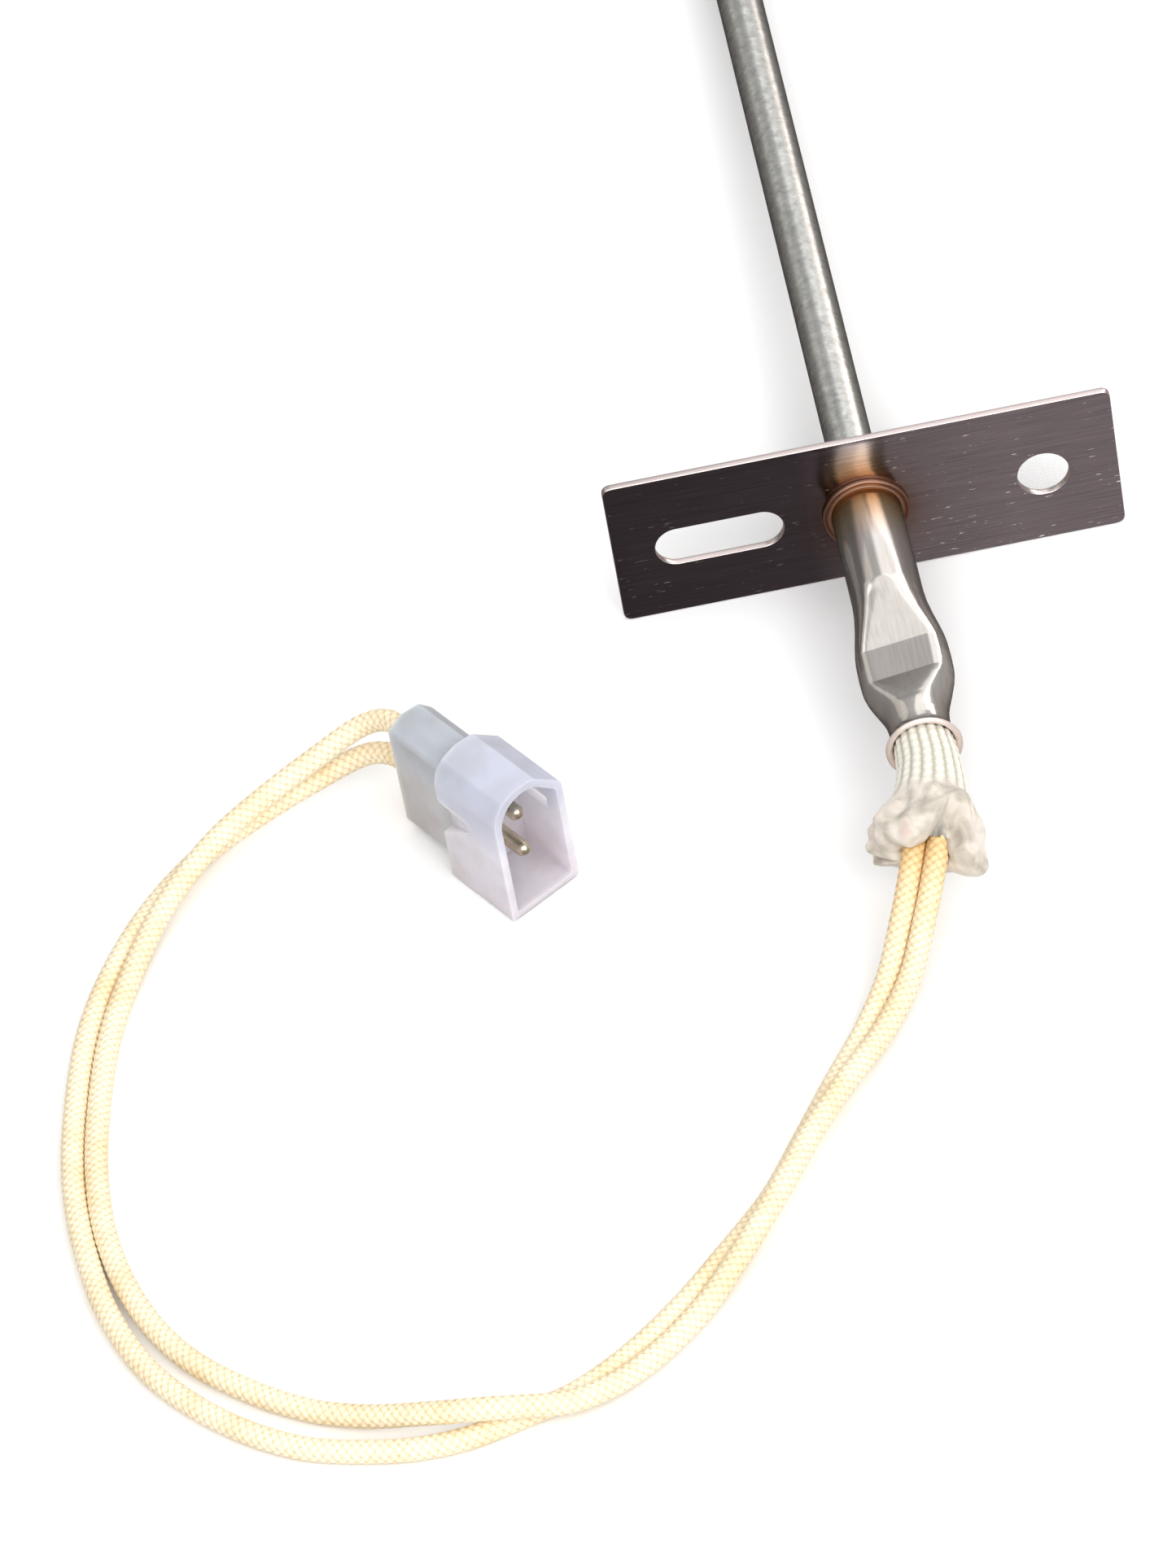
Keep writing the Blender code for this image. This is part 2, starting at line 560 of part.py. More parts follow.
def main():
    """Empty the scene and build the probe, its leads and its plug."""
    for item in list(bpy.data.objects):
        bpy.data.objects.remove(item)
    finishes = {
        "brushed steel": finish("brushed stainless steel", (0.42, 0.42, 0.40), 0.42, 1.0),
        "polished steel": finish("polished stainless steel", (0.48, 0.45, 0.44), 0.22, 1.0),
        "braze": finish("braze", (0.48, 0.27, 0.14), 0.38, 1.0),
        "nickel": finish("nickel", (0.55, 0.53, 0.49), 0.35, 1.0),
        "tin": finish("tin plate", (0.62, 0.57, 0.47), 0.28, 1.0),
        "alumina": finish("alumina ceramic", (0.86, 0.84, 0.79), 0.6),
        "glass": finish("glass drop", (0.25, 0.32, 0.36), 0.15),
        "cement": finish("ceramic cement", (0.72, 0.69, 0.62), 0.85),
        "glass cloth": finish("braided glass", (0.80, 0.76, 0.69), 0.8),
        "insulation": finish("conductor insulation", (0.78, 0.68, 0.48), 0.7),
        "lead braid": finish("varnished lead braid", (0.88, 0.74, 0.45), 0.65),
        "nylon": finish("natural nylon", (0.75, 0.76, 0.78), 0.35),
    }
    frame = bpy.data.objects.new("probe_frame", None)
    bpy.context.collection.objects.link(frame)
    frame.location = (0.0, FLANGE_Y, FLANGE_LIFT)
    frame.rotation_euler = (-TIP_DROP, 0.0, 0.0)
    make_probe_tube(frame, finishes)
    make_flange(frame, finishes)
    make_braze_ring(frame, finishes)
    make_crimp_ferrule(frame, finishes)
    wire_end = make_sensing_tip(frame, finishes)
    make_wire_run(frame, finishes, wire_end)
    make_splices(frame, finishes)
    make_glass_sleeve(finishes)
    make_leads(finishes)
    make_plug(finishes)


main()
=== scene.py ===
"""Oven temperature probe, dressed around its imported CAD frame.

A stainless tube with a thin-film sensor in its tip is brazed to a two-hole flange. Behind the flange a larger
ferrule is pressed flat over the wires, a braided glass sleeve comes out of its mouth, and two braided leads run
in a loose loop to a milky nylon plug with two round-nosed contacts.
Frame: +Z up, +Y along the probe towards its tip, metres. The fields of the pieces are in millimetres.
"""

from __future__ import annotations

import json
import logging
import math
from dataclasses import dataclass
from enum import Enum, StrEnum, auto
from functools import partial
from typing import Any, Callable, Sequence

import bmesh
import bpy
from mathutils import Matrix, Vector, noise
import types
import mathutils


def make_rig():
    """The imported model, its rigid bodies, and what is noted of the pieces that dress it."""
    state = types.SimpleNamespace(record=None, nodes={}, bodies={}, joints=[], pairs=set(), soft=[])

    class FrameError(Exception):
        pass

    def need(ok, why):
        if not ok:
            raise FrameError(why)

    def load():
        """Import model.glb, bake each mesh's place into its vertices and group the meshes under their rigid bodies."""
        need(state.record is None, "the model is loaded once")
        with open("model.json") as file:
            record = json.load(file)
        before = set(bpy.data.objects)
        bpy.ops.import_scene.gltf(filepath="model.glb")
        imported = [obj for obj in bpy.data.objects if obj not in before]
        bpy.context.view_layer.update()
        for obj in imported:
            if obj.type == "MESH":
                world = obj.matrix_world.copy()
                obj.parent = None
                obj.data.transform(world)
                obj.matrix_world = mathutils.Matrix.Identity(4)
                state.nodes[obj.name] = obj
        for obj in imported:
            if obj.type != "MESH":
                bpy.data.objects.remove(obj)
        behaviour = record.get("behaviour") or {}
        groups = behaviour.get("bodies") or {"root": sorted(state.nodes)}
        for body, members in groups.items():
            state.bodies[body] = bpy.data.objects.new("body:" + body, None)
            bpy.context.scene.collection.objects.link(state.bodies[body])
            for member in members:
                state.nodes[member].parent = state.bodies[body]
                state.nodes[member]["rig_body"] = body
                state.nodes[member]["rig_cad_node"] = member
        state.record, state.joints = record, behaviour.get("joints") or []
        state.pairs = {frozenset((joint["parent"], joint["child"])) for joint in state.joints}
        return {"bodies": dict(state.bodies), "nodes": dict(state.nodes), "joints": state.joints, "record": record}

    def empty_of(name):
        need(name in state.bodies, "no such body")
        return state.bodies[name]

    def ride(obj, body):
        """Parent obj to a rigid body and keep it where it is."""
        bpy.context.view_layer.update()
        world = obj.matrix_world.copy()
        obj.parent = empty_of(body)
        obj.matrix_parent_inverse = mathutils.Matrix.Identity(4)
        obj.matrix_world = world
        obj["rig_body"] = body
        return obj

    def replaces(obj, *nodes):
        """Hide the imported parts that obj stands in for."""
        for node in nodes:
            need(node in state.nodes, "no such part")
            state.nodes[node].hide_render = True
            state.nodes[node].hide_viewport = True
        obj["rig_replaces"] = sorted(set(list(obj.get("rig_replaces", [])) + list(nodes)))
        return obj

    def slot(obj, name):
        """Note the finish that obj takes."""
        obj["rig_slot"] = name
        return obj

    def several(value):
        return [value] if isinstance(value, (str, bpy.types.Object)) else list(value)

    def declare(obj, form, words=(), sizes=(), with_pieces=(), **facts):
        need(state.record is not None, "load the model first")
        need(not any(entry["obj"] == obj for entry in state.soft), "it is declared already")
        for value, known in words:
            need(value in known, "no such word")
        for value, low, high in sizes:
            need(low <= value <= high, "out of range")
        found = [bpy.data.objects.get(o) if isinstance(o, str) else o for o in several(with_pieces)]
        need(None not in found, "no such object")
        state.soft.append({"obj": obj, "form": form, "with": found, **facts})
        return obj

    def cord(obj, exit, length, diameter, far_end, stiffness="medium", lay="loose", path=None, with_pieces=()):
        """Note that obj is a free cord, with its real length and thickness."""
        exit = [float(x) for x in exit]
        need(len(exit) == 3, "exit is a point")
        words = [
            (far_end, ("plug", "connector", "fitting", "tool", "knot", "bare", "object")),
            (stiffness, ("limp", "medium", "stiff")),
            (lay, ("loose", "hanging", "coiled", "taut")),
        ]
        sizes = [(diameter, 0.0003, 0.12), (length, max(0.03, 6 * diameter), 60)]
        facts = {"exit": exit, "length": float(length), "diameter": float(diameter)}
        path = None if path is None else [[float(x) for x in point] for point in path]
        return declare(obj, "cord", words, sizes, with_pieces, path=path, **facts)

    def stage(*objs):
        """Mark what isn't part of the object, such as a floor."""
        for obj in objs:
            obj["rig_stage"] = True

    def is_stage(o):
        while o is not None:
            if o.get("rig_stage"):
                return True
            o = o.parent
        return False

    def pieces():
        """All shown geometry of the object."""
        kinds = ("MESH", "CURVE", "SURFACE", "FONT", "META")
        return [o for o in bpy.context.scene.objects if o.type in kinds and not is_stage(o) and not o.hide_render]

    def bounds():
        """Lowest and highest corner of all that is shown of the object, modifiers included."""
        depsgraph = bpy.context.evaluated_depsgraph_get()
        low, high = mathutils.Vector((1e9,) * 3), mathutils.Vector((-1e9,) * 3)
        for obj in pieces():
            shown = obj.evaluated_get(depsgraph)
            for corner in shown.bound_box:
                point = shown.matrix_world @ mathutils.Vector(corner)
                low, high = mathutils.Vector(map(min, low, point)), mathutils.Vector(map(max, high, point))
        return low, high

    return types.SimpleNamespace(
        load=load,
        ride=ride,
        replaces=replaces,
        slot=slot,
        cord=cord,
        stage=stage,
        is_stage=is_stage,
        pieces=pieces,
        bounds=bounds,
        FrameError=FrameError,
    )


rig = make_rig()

LOG = logging.getLogger("probe")
MM = 0.001
TURN = 2.0 * math.pi
UP = Vector((0.0, 0.0, 1.0))
BLACK, WHITE = "#000000", "#ffffff"

NOISE, RAMP, RANGE = "ShaderNodeTexNoise", "ShaderNodeValToRGB", "ShaderNodeMapRange"
BUMP, MIX, MAPPING = "ShaderNodeBump", "ShaderNodeMix", "ShaderNodeMapping"
MATH, VECTOR_MATH, SEPARATE = "ShaderNodeMath", "ShaderNodeVectorMath", "ShaderNodeSeparateXYZ"
ATTRIBUTE, READ, STORE = "ShaderNodeAttribute", "GeometryNodeInputNamedAttribute", "GeometryNodeStoreNamedAttribute"

Tree = bpy.types.NodeTree
Socket = bpy.types.NodeSocket
Piece = bpy.types.Object
Shape = bmesh.types.BMesh
Point = tuple[float, float, float]
Outline = Sequence[tuple[float, float]]
Stops = Sequence[tuple[float, str]]
Add = Callable[..., Socket]


class Slot(StrEnum):
    """The record's material slots, each called like its member in small letters."""

    MOTTLED_STEEL = auto()
    POLISHED_STEEL = auto()
    BRAZE = auto()
    NICKEL = auto()
    CONTACT_PLATE = auto()
    ALUMINA = auto()
    SENSOR_GLASS = auto()
    CEMENT = auto()
    GLASS_BRAID = auto()
    CONDUCTOR_WRAP = auto()
    LEAD_BRAID = auto()
    NYLON = auto()


class Side(Enum):
    """Which lead of the pair, as the sign of its offset from the pair's middle."""

    A = -1
    B = 1

    @property
    def label(self) -> str:
        """The letter that ends the names of this lead's pieces."""
        return self.name.lower()


# --- nodes and finishes ----------------------------------------------------------------------------------


def linear(colour: str) -> tuple[float, float, float, float]:
    """Turn an sRGB hex colour into linear light.

    Args:
        colour: six hex digits after a hash.

    Returns:
        Red, green, blue and an alpha of one.
    """
    parts = [int(colour[i : i + 2], 16) / 255.0 for i in (1, 3, 5)]
    red, green, blue = (p / 12.92 if p <= 0.04045 else ((p + 0.055) / 1.055) ** 2.4 for p in parts)
    return red, green, blue, 1.0


def feed(tree: Tree, socket: Socket, value: Any) -> None:
    """Link an output to an input socket, or give the socket a plain value."""
    if isinstance(value, Socket):
        tree.links.new(value, socket)
    else:
        socket.default_value = value


def add_node(
    tree: Tree, kind: str, inputs: dict[str | int, Any] | None = None, out: str | int = 0,
    stops: Stops = (), **settings: Any,
) -> Socket:
    """Add a node with its settings, values and links.

    Args:
        tree: the shader or geometry tree it goes in.
        kind: Blender's name for the node's type.
        inputs: for each socket, by name or place, its value or the output linked to it.
        out: which of its outputs is wanted, by name or place.
        stops: a colour ramp's places from 0 to 1 and their hex colours, in order.
        settings: the node's own properties.

    Returns:
        The wanted output.
    """
    node = tree.nodes.new(kind)
    for name, value in settings.items():
        setattr(node, name, value)
    for key, value in (inputs or {}).items():
        feed(tree, node.inputs[key], value)
    if stops:
        elements = node.color_ramp.elements
        while len(elements) < len(stops):
            elements.new(1.0)
        for element, (place, colour) in zip(elements, stops):
            element.position = place
            element.color = linear(colour)
    return node.outputs[out] if len(node.outputs) else None


def multiplied(add: Add, colour: Socket, *tints: Socket) -> Socket:
    """Multiply a colour by its tints, one after another."""
    for tint in tints:
        colour = add(MIX, {"Factor": 1.0, 6: colour, 7: tint}, 2, data_type="RGBA", blend_type="MULTIPLY")
    return colour


def graded(add: Add, value: Socket, start: float, end: float, stops: Stops) -> Socket:
    """Colour a place by a ramp that runs from start to end, in millimetres."""
    share = add(RANGE, {"Value": value, "From Min": start * MM, "From Max": end * MM})
    return add(RAMP, {"Fac": share}, stops=stops)


def repeats(size: float) -> float:
    """The texture scale at which one feature is this many millimetres across."""
    return 1.0 / (size * MM)


@dataclass(frozen=True)
class Finish:
    """A surface: what it is called, its colour, and how it reflects. A metal keeps the default IOR."""

    name: str
    colour: str
    roughness: float
    slot: Slot
    metallic: float = 0.0
    ior: float = 1.5

    def material(self) -> bpy.types.Material:
        """The material of this finish, made the first time it is asked for."""
        known = bpy.data.materials.get(self.name)
        if known:
            return known
        material = bpy.data.materials.new(self.name)
        material.use_nodes = True
        tree = material.node_tree
        plain = {
            "Base Color": linear(self.colour), "Roughness": self.roughness, "Metallic": self.metallic,
            "IOR": self.ior,
        }
        add = partial(add_node, tree)
        for looks in (plain, self.looks(add, add("ShaderNodeTexCoord", out="Object"))):
            for name, value in looks.items():
                feed(tree, tree.nodes["Principled BSDF"].inputs[name], value)
        return material

    def looks(self, add: Add, place: Socket) -> dict[str, Any]:
        """Work out the surface: here a fine grain, as a slight change of gloss and height.

        Args:
            add: adds a node to the material.
            place: the point on the piece.

        Returns:
            For each input of the shader, its value or the output linked to it.
        """
        grain = add(NOISE, {"Vector": place, "Scale": repeats(0.4), "Detail": 4.0})
        dull, bright = self.roughness * 1.2, self.roughness * 0.8
        return {
            "Roughness": add(RANGE, {"Value": grain, "To Min": bright, "To Max": dull}),
            "Normal": add(BUMP, {"Height": grain, "Strength": 0.2, "Distance": 0.02 * MM}),
        }


@dataclass(frozen=True)
class PickledTube(Finish):
    """Drawn stainless tube after pickling: satin grey with cloudy darker and lighter spots."""

    spot: float = 0.9
    pit: float = 0.16
    grazing: str = "#3a3a3a"

    def looks(self, add: Add, place: Socket) -> dict[str, Any]:
        """Cloud the colour and the gloss, and pit the surface finely."""
        cloud = add(NOISE, {"Vector": place, "Scale": repeats(self.spot), "Detail": 6.0, "Roughness": 0.68})
        shades = [(0.28, "#a2a29e"), (0.46, "#c2c2be"), (0.60, "#d4d4d0"), (0.76, "#ececea")]
        gloss = {"Value": cloud, "From Min": 0.3, "From Max": 0.7, "To Min": 0.36, "To Max": 0.25}
        pits = add(NOISE, {"Vector": place, "Scale": repeats(self.pit), "Detail": 3.0})
        return {
            "Base Color": add(RAMP, {"Fac": cloud}, stops=shades),
            "Roughness": add(RANGE, gloss),
            "Specular Tint": linear(self.grazing),
            "Normal": add(BUMP, {"Height": pits, "Strength": 0.3, "Distance": 0.012 * MM}),
        }


@dataclass(frozen=True)
class RolledSheet(Finish):
    """Bright rolled stainless sheet: fine grain, short scratches, heat tint, and tarnish on its left half."""

    grain: tuple[float, float] = (7.0, 0.10)
    scratch: tuple[float, float] = (1.6, 0.16)
    scratch_lean: float = 0.25
    axis_height: float = 8.03
    tint: tuple[float, float] = (4.0, 8.0)
    half_length: float = 25.4

    def looks(self, add: Add, place: Socket) -> dict[str, Any]:
        """Lay the grain along the sheet, scatter short bright scratches, and tint it round the braze."""
        long, fine = (repeats(size) for size in self.grain)
        laid = add(MAPPING, {"Vector": place, "Scale": (long, fine, fine)})
        grain = add(NOISE, {"Vector": laid, "Scale": 1.0, "Detail": 5.0, "Roughness": 0.6})
        tone = add(RAMP, {"Fac": grain}, stops=[(0.30, "#a6a0a3"), (0.50, self.colour), (0.72, "#d4cdce")])
        long, fine = (repeats(size) for size in self.scratch)
        lean = (0.0, self.scratch_lean, 0.0)
        crossed = add(MAPPING, {"Vector": place, "Rotation": lean, "Scale": (long, long, fine)})
        nicks = add(NOISE, {"Vector": crossed, "Scale": 1.0, "Detail": 2.0})
        nicked = add(RAMP, {"Fac": nicks}, stops=[(0.0, BLACK), (0.70, BLACK), (0.76, WHITE)])
        scratched = add(MIX, {"Factor": nicked, 6: tone, 7: linear("#e9dfe0")}, 2, data_type="RGBA")
        flat = add(MAPPING, {"Vector": place, "Scale": (1.0, 0.0, 1.0)})
        away = add(VECTOR_MATH, {0: flat, 1: (0.0, 0.0, self.axis_height * MM)}, 1, operation="DISTANCE")
        heat = graded(add, away, *self.tint, [(0.0, "#dcbca4"), (0.12, "#ecd6c4"), (0.40, "#f8f0e8"), (1.0, WHITE)])
        tarnish = graded(add, add(SEPARATE, {"Vector": place}, "X"), -self.half_length, self.half_length, [
            (0.0, "#7c787a"), (0.38, "#858183"), (0.47, "#b0acad"), (0.56, "#e2dfdf"), (0.8, WHITE),
        ])
        return {
            "Base Color": multiplied(add, scratched, heat, tarnish),
            "Metallic": add(RANGE, {"Value": nicked, "To Min": 1.0, "To Max": 0.2}),
            "Roughness": add(RANGE, {"Value": grain, "To Min": 0.10, "To Max": 0.20}),
            "Normal": add(BUMP, {"Height": grain, "Strength": 0.25, "Distance": 0.02 * MM}),
        }


@dataclass(frozen=True)
class BrightFerrule(Finish):
    """Bright-drawn stainless tube: nearly mirror, with long draw lines and a straw tint next to the braze."""

    line: tuple[float, float] = (0.35, 9.0)
    tint: tuple[float, float] = (-52.5, -59.0)
    grazing: str = "#4a4642"

    def looks(self, add: Add, place: Socket) -> dict[str, Any]:
        """Run draw lines along the tube and tint its end."""
        fine, long = (repeats(size) for size in self.line)
        drawn = add(MAPPING, {"Vector": place, "Scale": (fine, long, fine)})
        lines = add(NOISE, {"Vector": drawn, "Scale": 1.0, "Detail": 5.0})
        tone = add(RAMP, {"Fac": lines}, stops=[(0.28, "#cec8c1"), (0.50, self.colour), (0.75, "#dcd7d2")])
        straw = graded(add, add(SEPARATE, {"Vector": place}, "Y"), *self.tint, [
            (0.0, "#bf8f62"), (0.20, "#dfc29a"), (0.55, "#f3e8d2"), (1.0, WHITE),
        ])
        return {
            "Base Color": multiplied(add, tone, straw),
            "Roughness": add(RANGE, {"Value": lines, "To Min": 0.13, "To Max": 0.20}),
            "Specular Tint": linear(self.grazing),
            "Normal": add(BUMP, {"Height": lines, "Strength": 0.15, "Distance": 0.01 * MM}),
        }


@dataclass(frozen=True)
class BraidedGlass(Finish):
    """Untreated glass braid: soft cream ribs with grey gaps, milky and smooth where the end is bunched."""

    def looks(self, add: Add, place: Socket) -> dict[str, Any]:
        """Darken the gaps of the braid, and cloud its bunched end."""
        crown, bunch = (add(ATTRIBUTE, out="Fac", attribute_name=name) for name in ("crown", "bunch"))
        ribs = add(RAMP, {"Fac": crown}, stops=[
            (0.10, "#a39d8f"), (0.40, "#c4bfb1"), (0.66, "#d9d5c8"), (1.0, "#e5e1d6"),
        ])
        cloud = add(NOISE, {"Vector": place, "Scale": repeats(2.2), "Detail": 3.0, "Distortion": 0.6})
        milk = add(RAMP, {"Fac": cloud}, stops=[
            (0.28, "#a39a8d"), (0.44, "#bfb7aa"), (0.58, "#d2cabf"), (0.74, "#d0bcb2"),
        ])
        fibre = add(NOISE, {"Vector": place, "Scale": repeats(0.15), "Detail": 3.0})
        return {
            "Base Color": add(MIX, {"Factor": bunch, 6: ribs, 7: milk}, 2, data_type="RGBA"),
            "Sheen Weight": 0.25,
            "Subsurface Weight": 0.25,
            "Subsurface Radius": (1.0, 0.8, 0.7),
            "Subsurface Scale": 0.6 * MM,
            "Normal": add(BUMP, {"Height": fibre, "Strength": 0.4, "Distance": 0.04 * MM}),
        }


@dataclass(frozen=True)
class VarnishedBraid(Finish):
    """Glass braid soaked in varnish: cream, tan between the yarns, and amber where it has been hot."""

    amber: tuple[float, float] = (9.0, 20.0)

    def looks(self, add: Add, place: Socket) -> dict[str, Any]:
        """Darken the gaps of the braid and warm the end in the sleeve."""
        crown, along = (add(ATTRIBUTE, out="Fac", attribute_name=name) for name in ("crown", "along"))
        yarn = add(RAMP, {"Fac": crown}, stops=[
            (0.05, "#cdb48c"), (0.38, "#ead9b8"), (0.72, self.colour), (1.0, "#f8eed6"),
        ])
        heat = graded(add, along, *self.amber, [
            (0.0, "#f3dab2"), (0.25, "#f9e9d2"), (0.6, "#fdf8ee"), (1.0, WHITE),
        ])
        cloud = add(NOISE, {"Vector": place, "Scale": repeats(5.0), "Detail": 3.0})
        patch = add(RAMP, {"Fac": cloud}, stops=[(0.30, "#f7efdf"), (0.55, WHITE)])
        fibre = add(NOISE, {"Vector": place, "Scale": repeats(0.12), "Detail": 2.0})
        return {
            "Base Color": multiplied(add, yarn, heat, patch),
            "Coat Weight": 0.12,
            "Coat Roughness": 0.35,
            "Normal": add(BUMP, {"Height": fibre, "Strength": 0.3, "Distance": 0.03 * MM}),
        }


@dataclass(frozen=True)
class NaturalNylon(Finish):
    """Moulded nylon without pigment: milky, whiter at the open end, greyer and browner round the cavities."""

    front: Point = (-38.3, -87.2, 0.0)
    heading: float = 33.0
    length: float = 17.5
    height: float = 15.0

    def looks(self, add: Add, place: Socket) -> dict[str, Any]:
        """Shade the plug from its open end to its rear, and cloud it slightly."""
        turn = math.radians(-self.heading)
        start = -(Matrix.Rotation(turn, 3, "Z") @ Vector(self.front)) * MM
        own = add(MAPPING, {"Vector": place, "Rotation": (0.0, 0.0, turn), "Location": start})
        shade = graded(add, add(SEPARATE, {"Vector": own}, "Y"), 0.0, self.length, [
            (0.0, "#dadae4"), (0.06, "#e0e0ea"), (0.50, "#dedfe6"), (0.54, "#cdd0d3"), (1.0, "#c4c6c7"),
        ])
        warmth = graded(add, add(SEPARATE, {"Vector": own}, "Z"), 0.0, self.height, [
            (0.0, "#f4ecea"), (0.55, "#f9f6f7"), (0.80, "#e4e7ee"), (1.0, "#d4d8df"),
        ])
        cloud = add(NOISE, {"Vector": place, "Scale": repeats(3.0), "Detail": 2.0})
        patch = add(RAMP, {"Fac": cloud}, stops=[(0.35, "#f6f4f1"), (0.60, WHITE)])
        skin = add(NOISE, {"Vector": place, "Scale": repeats(0.8), "Detail": 2.0})
        return {
            "Base Color": multiplied(add, shade, warmth, patch),
            "Subsurface Weight": 0.8,
            "Subsurface Radius": (1.0, 0.95, 0.9),
            "Subsurface Scale": 2.2 * MM,
            "Normal": add(BUMP, {"Height": skin, "Strength": 0.1, "Distance": 0.03 * MM}),
        }


TUBE_FINISH = PickledTube("pickled stainless tube", "#c8c8c4", 0.31, Slot.MOTTLED_STEEL, 0.94)
SHEET_FINISH = RolledSheet("rolled stainless sheet", "#beb6b9", 0.28, Slot.POLISHED_STEEL, 1.0)
EDGE_FINISH = Finish("sheared stainless edge", "#d6c9c6", 0.30, Slot.POLISHED_STEEL, 1.0)
FERRULE_FINISH = BrightFerrule("bright-drawn stainless tube", "#d6d0ca", 0.18, Slot.POLISHED_STEEL, 0.88)
RIM_FINISH = Finish("rolled stainless rim", "#f2e2da", 0.40, Slot.POLISHED_STEEL, 0.6)
BRAZE_FINISH = Finish("copper-silver braze", "#b08c78", 0.46, Slot.BRAZE, 1.0)
BRAID_FINISH = BraidedGlass("braided glass sleeving", "#e6e2d8", 0.80, Slot.GLASS_BRAID)
LEAD_FINISH = VarnishedBraid("varnished glass braid", "#f3e5c7", 0.55, Slot.LEAD_BRAID)
NYLON_FINISH = NaturalNylon("natural nylon", "#e2e4e8", 0.38, Slot.NYLON, ior=1.53)
CONTACT_FINISH = Finish("tin-plated brass", "#d8ccb2", 0.26, Slot.CONTACT_PLATE, 1.0)
NICKEL_FINISH = Finish("drawn nickel", "#b9b3a8", 0.34, Slot.NICKEL, 1.0)
ALUMINA_FINISH = Finish("fired alumina", "#efede6", 0.62, Slot.ALUMINA, ior=1.76)
GLASS_FINISH = Finish("fused sensor glass", "#7f949b", 0.12, Slot.SENSOR_GLASS, ior=1.52)
CEMENT_FINISH = Finish("dry ceramic cement", "#dcd7ca", 0.90, Slot.CEMENT)
WRAP_FINISH = Finish("glass-wrapped conductor", "#e3d4b0", 0.72, Slot.CONDUCTOR_WRAP)


# --- meshes ----------------------------------------------------------------------------------------------


def linked(name: str, data: bpy.types.ID) -> Piece:
    """Put an object of this name and data in the scene, at the origin."""
    piece = bpy.data.objects.new(name, data)
    bpy.context.collection.objects.link(piece)
    return piece


def mesh_piece(name: str, shape: Shape, finish: Finish, place: Matrix | None = None, crease: float = 35.0) -> Piece:
    """Turn a bmesh into a piece at the origin.

    Args:
        name: the piece's name.
        shape: its closed surface, which is used up.
        finish: its finish.
        place: moves it from its sub-assembly's own frame.
        crease: the angle in degrees past which an edge is sharp.

    Returns:
        The piece.
    """
    if place:
        shape.transform(place)
    bmesh.ops.recalc_face_normals(shape, faces=shape.faces)
    mesh = bpy.data.meshes.new(name)
    shape.to_mesh(mesh)
    shape.free()
    mesh.shade_smooth()
    mesh.set_sharp_from_angle(angle=math.radians(crease))
    mesh.materials.append(finish.material())
    return linked(name, mesh)


def curve_piece(name: str, outlines: Sequence[Sequence[Point]], cyclic: bool) -> Piece:
    """Draw a curve through points in metres.

    Args:
        name: the curve's name.
        outlines: the points of each of its splines.
        cyclic: whether they close.

    Returns:
        The curve piece.
    """
    curve = bpy.data.curves.new(name, "CURVE")
    curve.dimensions = "2D" if cyclic else "3D"
    for outline in outlines:
        spline = curve.splines.new("POLY")
        spline.points.add(len(outline) - 1)
        spline.use_cyclic_u = cyclic
        for point, place in zip(spline.points, outline):
            point.co = (*place, 1.0)
    return linked(name, curve)


def settle(piece: Piece) -> Piece:
    """Replace a piece by what its modifiers or its curve make of it, as a plain mesh of the same name."""
    name = piece.name
    graph = bpy.context.evaluated_depsgraph_get()
    mesh = bpy.data.meshes.new_from_object(piece.evaluated_get(graph), depsgraph=graph)
    bpy.data.objects.remove(piece)
    mesh.name = name
    return linked(name, mesh)


def keep(piece: Piece, finish: Finish, *nodes: str) -> Piece:
    """Let a piece stand for CAD nodes on the root body, in its record slot.

    Args:
        piece: the finished piece.
        finish: the finish whose slot it takes.
        nodes: the CAD nodes that it hides.

    Returns:
        The piece.
    """
    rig.ride(piece, "root")
    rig.replaces(piece, *nodes)
    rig.slot(piece, finish.slot.value)
    LOG.info("%s: %d faces", piece.name, len(piece.data.polygons))
    return piece


def bridge(shape: Shape, first: Sequence[bmesh.types.BMVert], second: Sequence[bmesh.types.BMVert]) -> None:
    """Join two rings of the same length with quads, or a ring and a single point with triangles."""
    if len(first) == len(second) == 1:
        return
    if len(first) == len(second):
        for i, corner in enumerate(first):
            after = (i + 1) % len(first)
            shape.faces.new((corner, first[after], second[after], second[i]))
        return
    tip, ring = (first[0], second) if len(first) == 1 else (second[0], first)
    for i, corner in enumerate(ring):
        shape.faces.new((corner, ring[(i + 1) % len(ring)], tip))


def closed_loft(rings: Sequence[Sequence[Vector]]) -> Shape:
    """Skin rings of points one after another, and the last one back to the first."""
    shape = bmesh.new()
    made = [[shape.verts.new(point) for point in ring] for ring in rings]
    for first, second in zip(made, made[1:] + made[:1]):
        bridge(shape, first, second)
    return shape


def turned(
    profile: Outline, sides: int, z: float, wobble: Callable[[float], float] = lambda angle: 0.0
) -> Shape:
    """Turn a closed outline about a line along Y.

    Args:
        profile: radius and y of each corner, in millimetres.
        sides: how many sides the circles have.
        z: how high the line is, in millimetres.
        wobble: what is added to the radius at an angle, in millimetres.

    Returns:
        The turned shape, in metres.
    """
    rings = []
    for radius, y in profile:
        ring = []
        for i in range(sides if radius > 0.0 else 1):
            angle = TURN * i / sides
            reach = radius + (wobble(angle) if radius > 0.0 else 0.0)
            ring.append(Vector((reach * math.cos(angle), y, z + reach * math.sin(angle))) * MM)
        rings.append(ring)
    return closed_loft(rings)


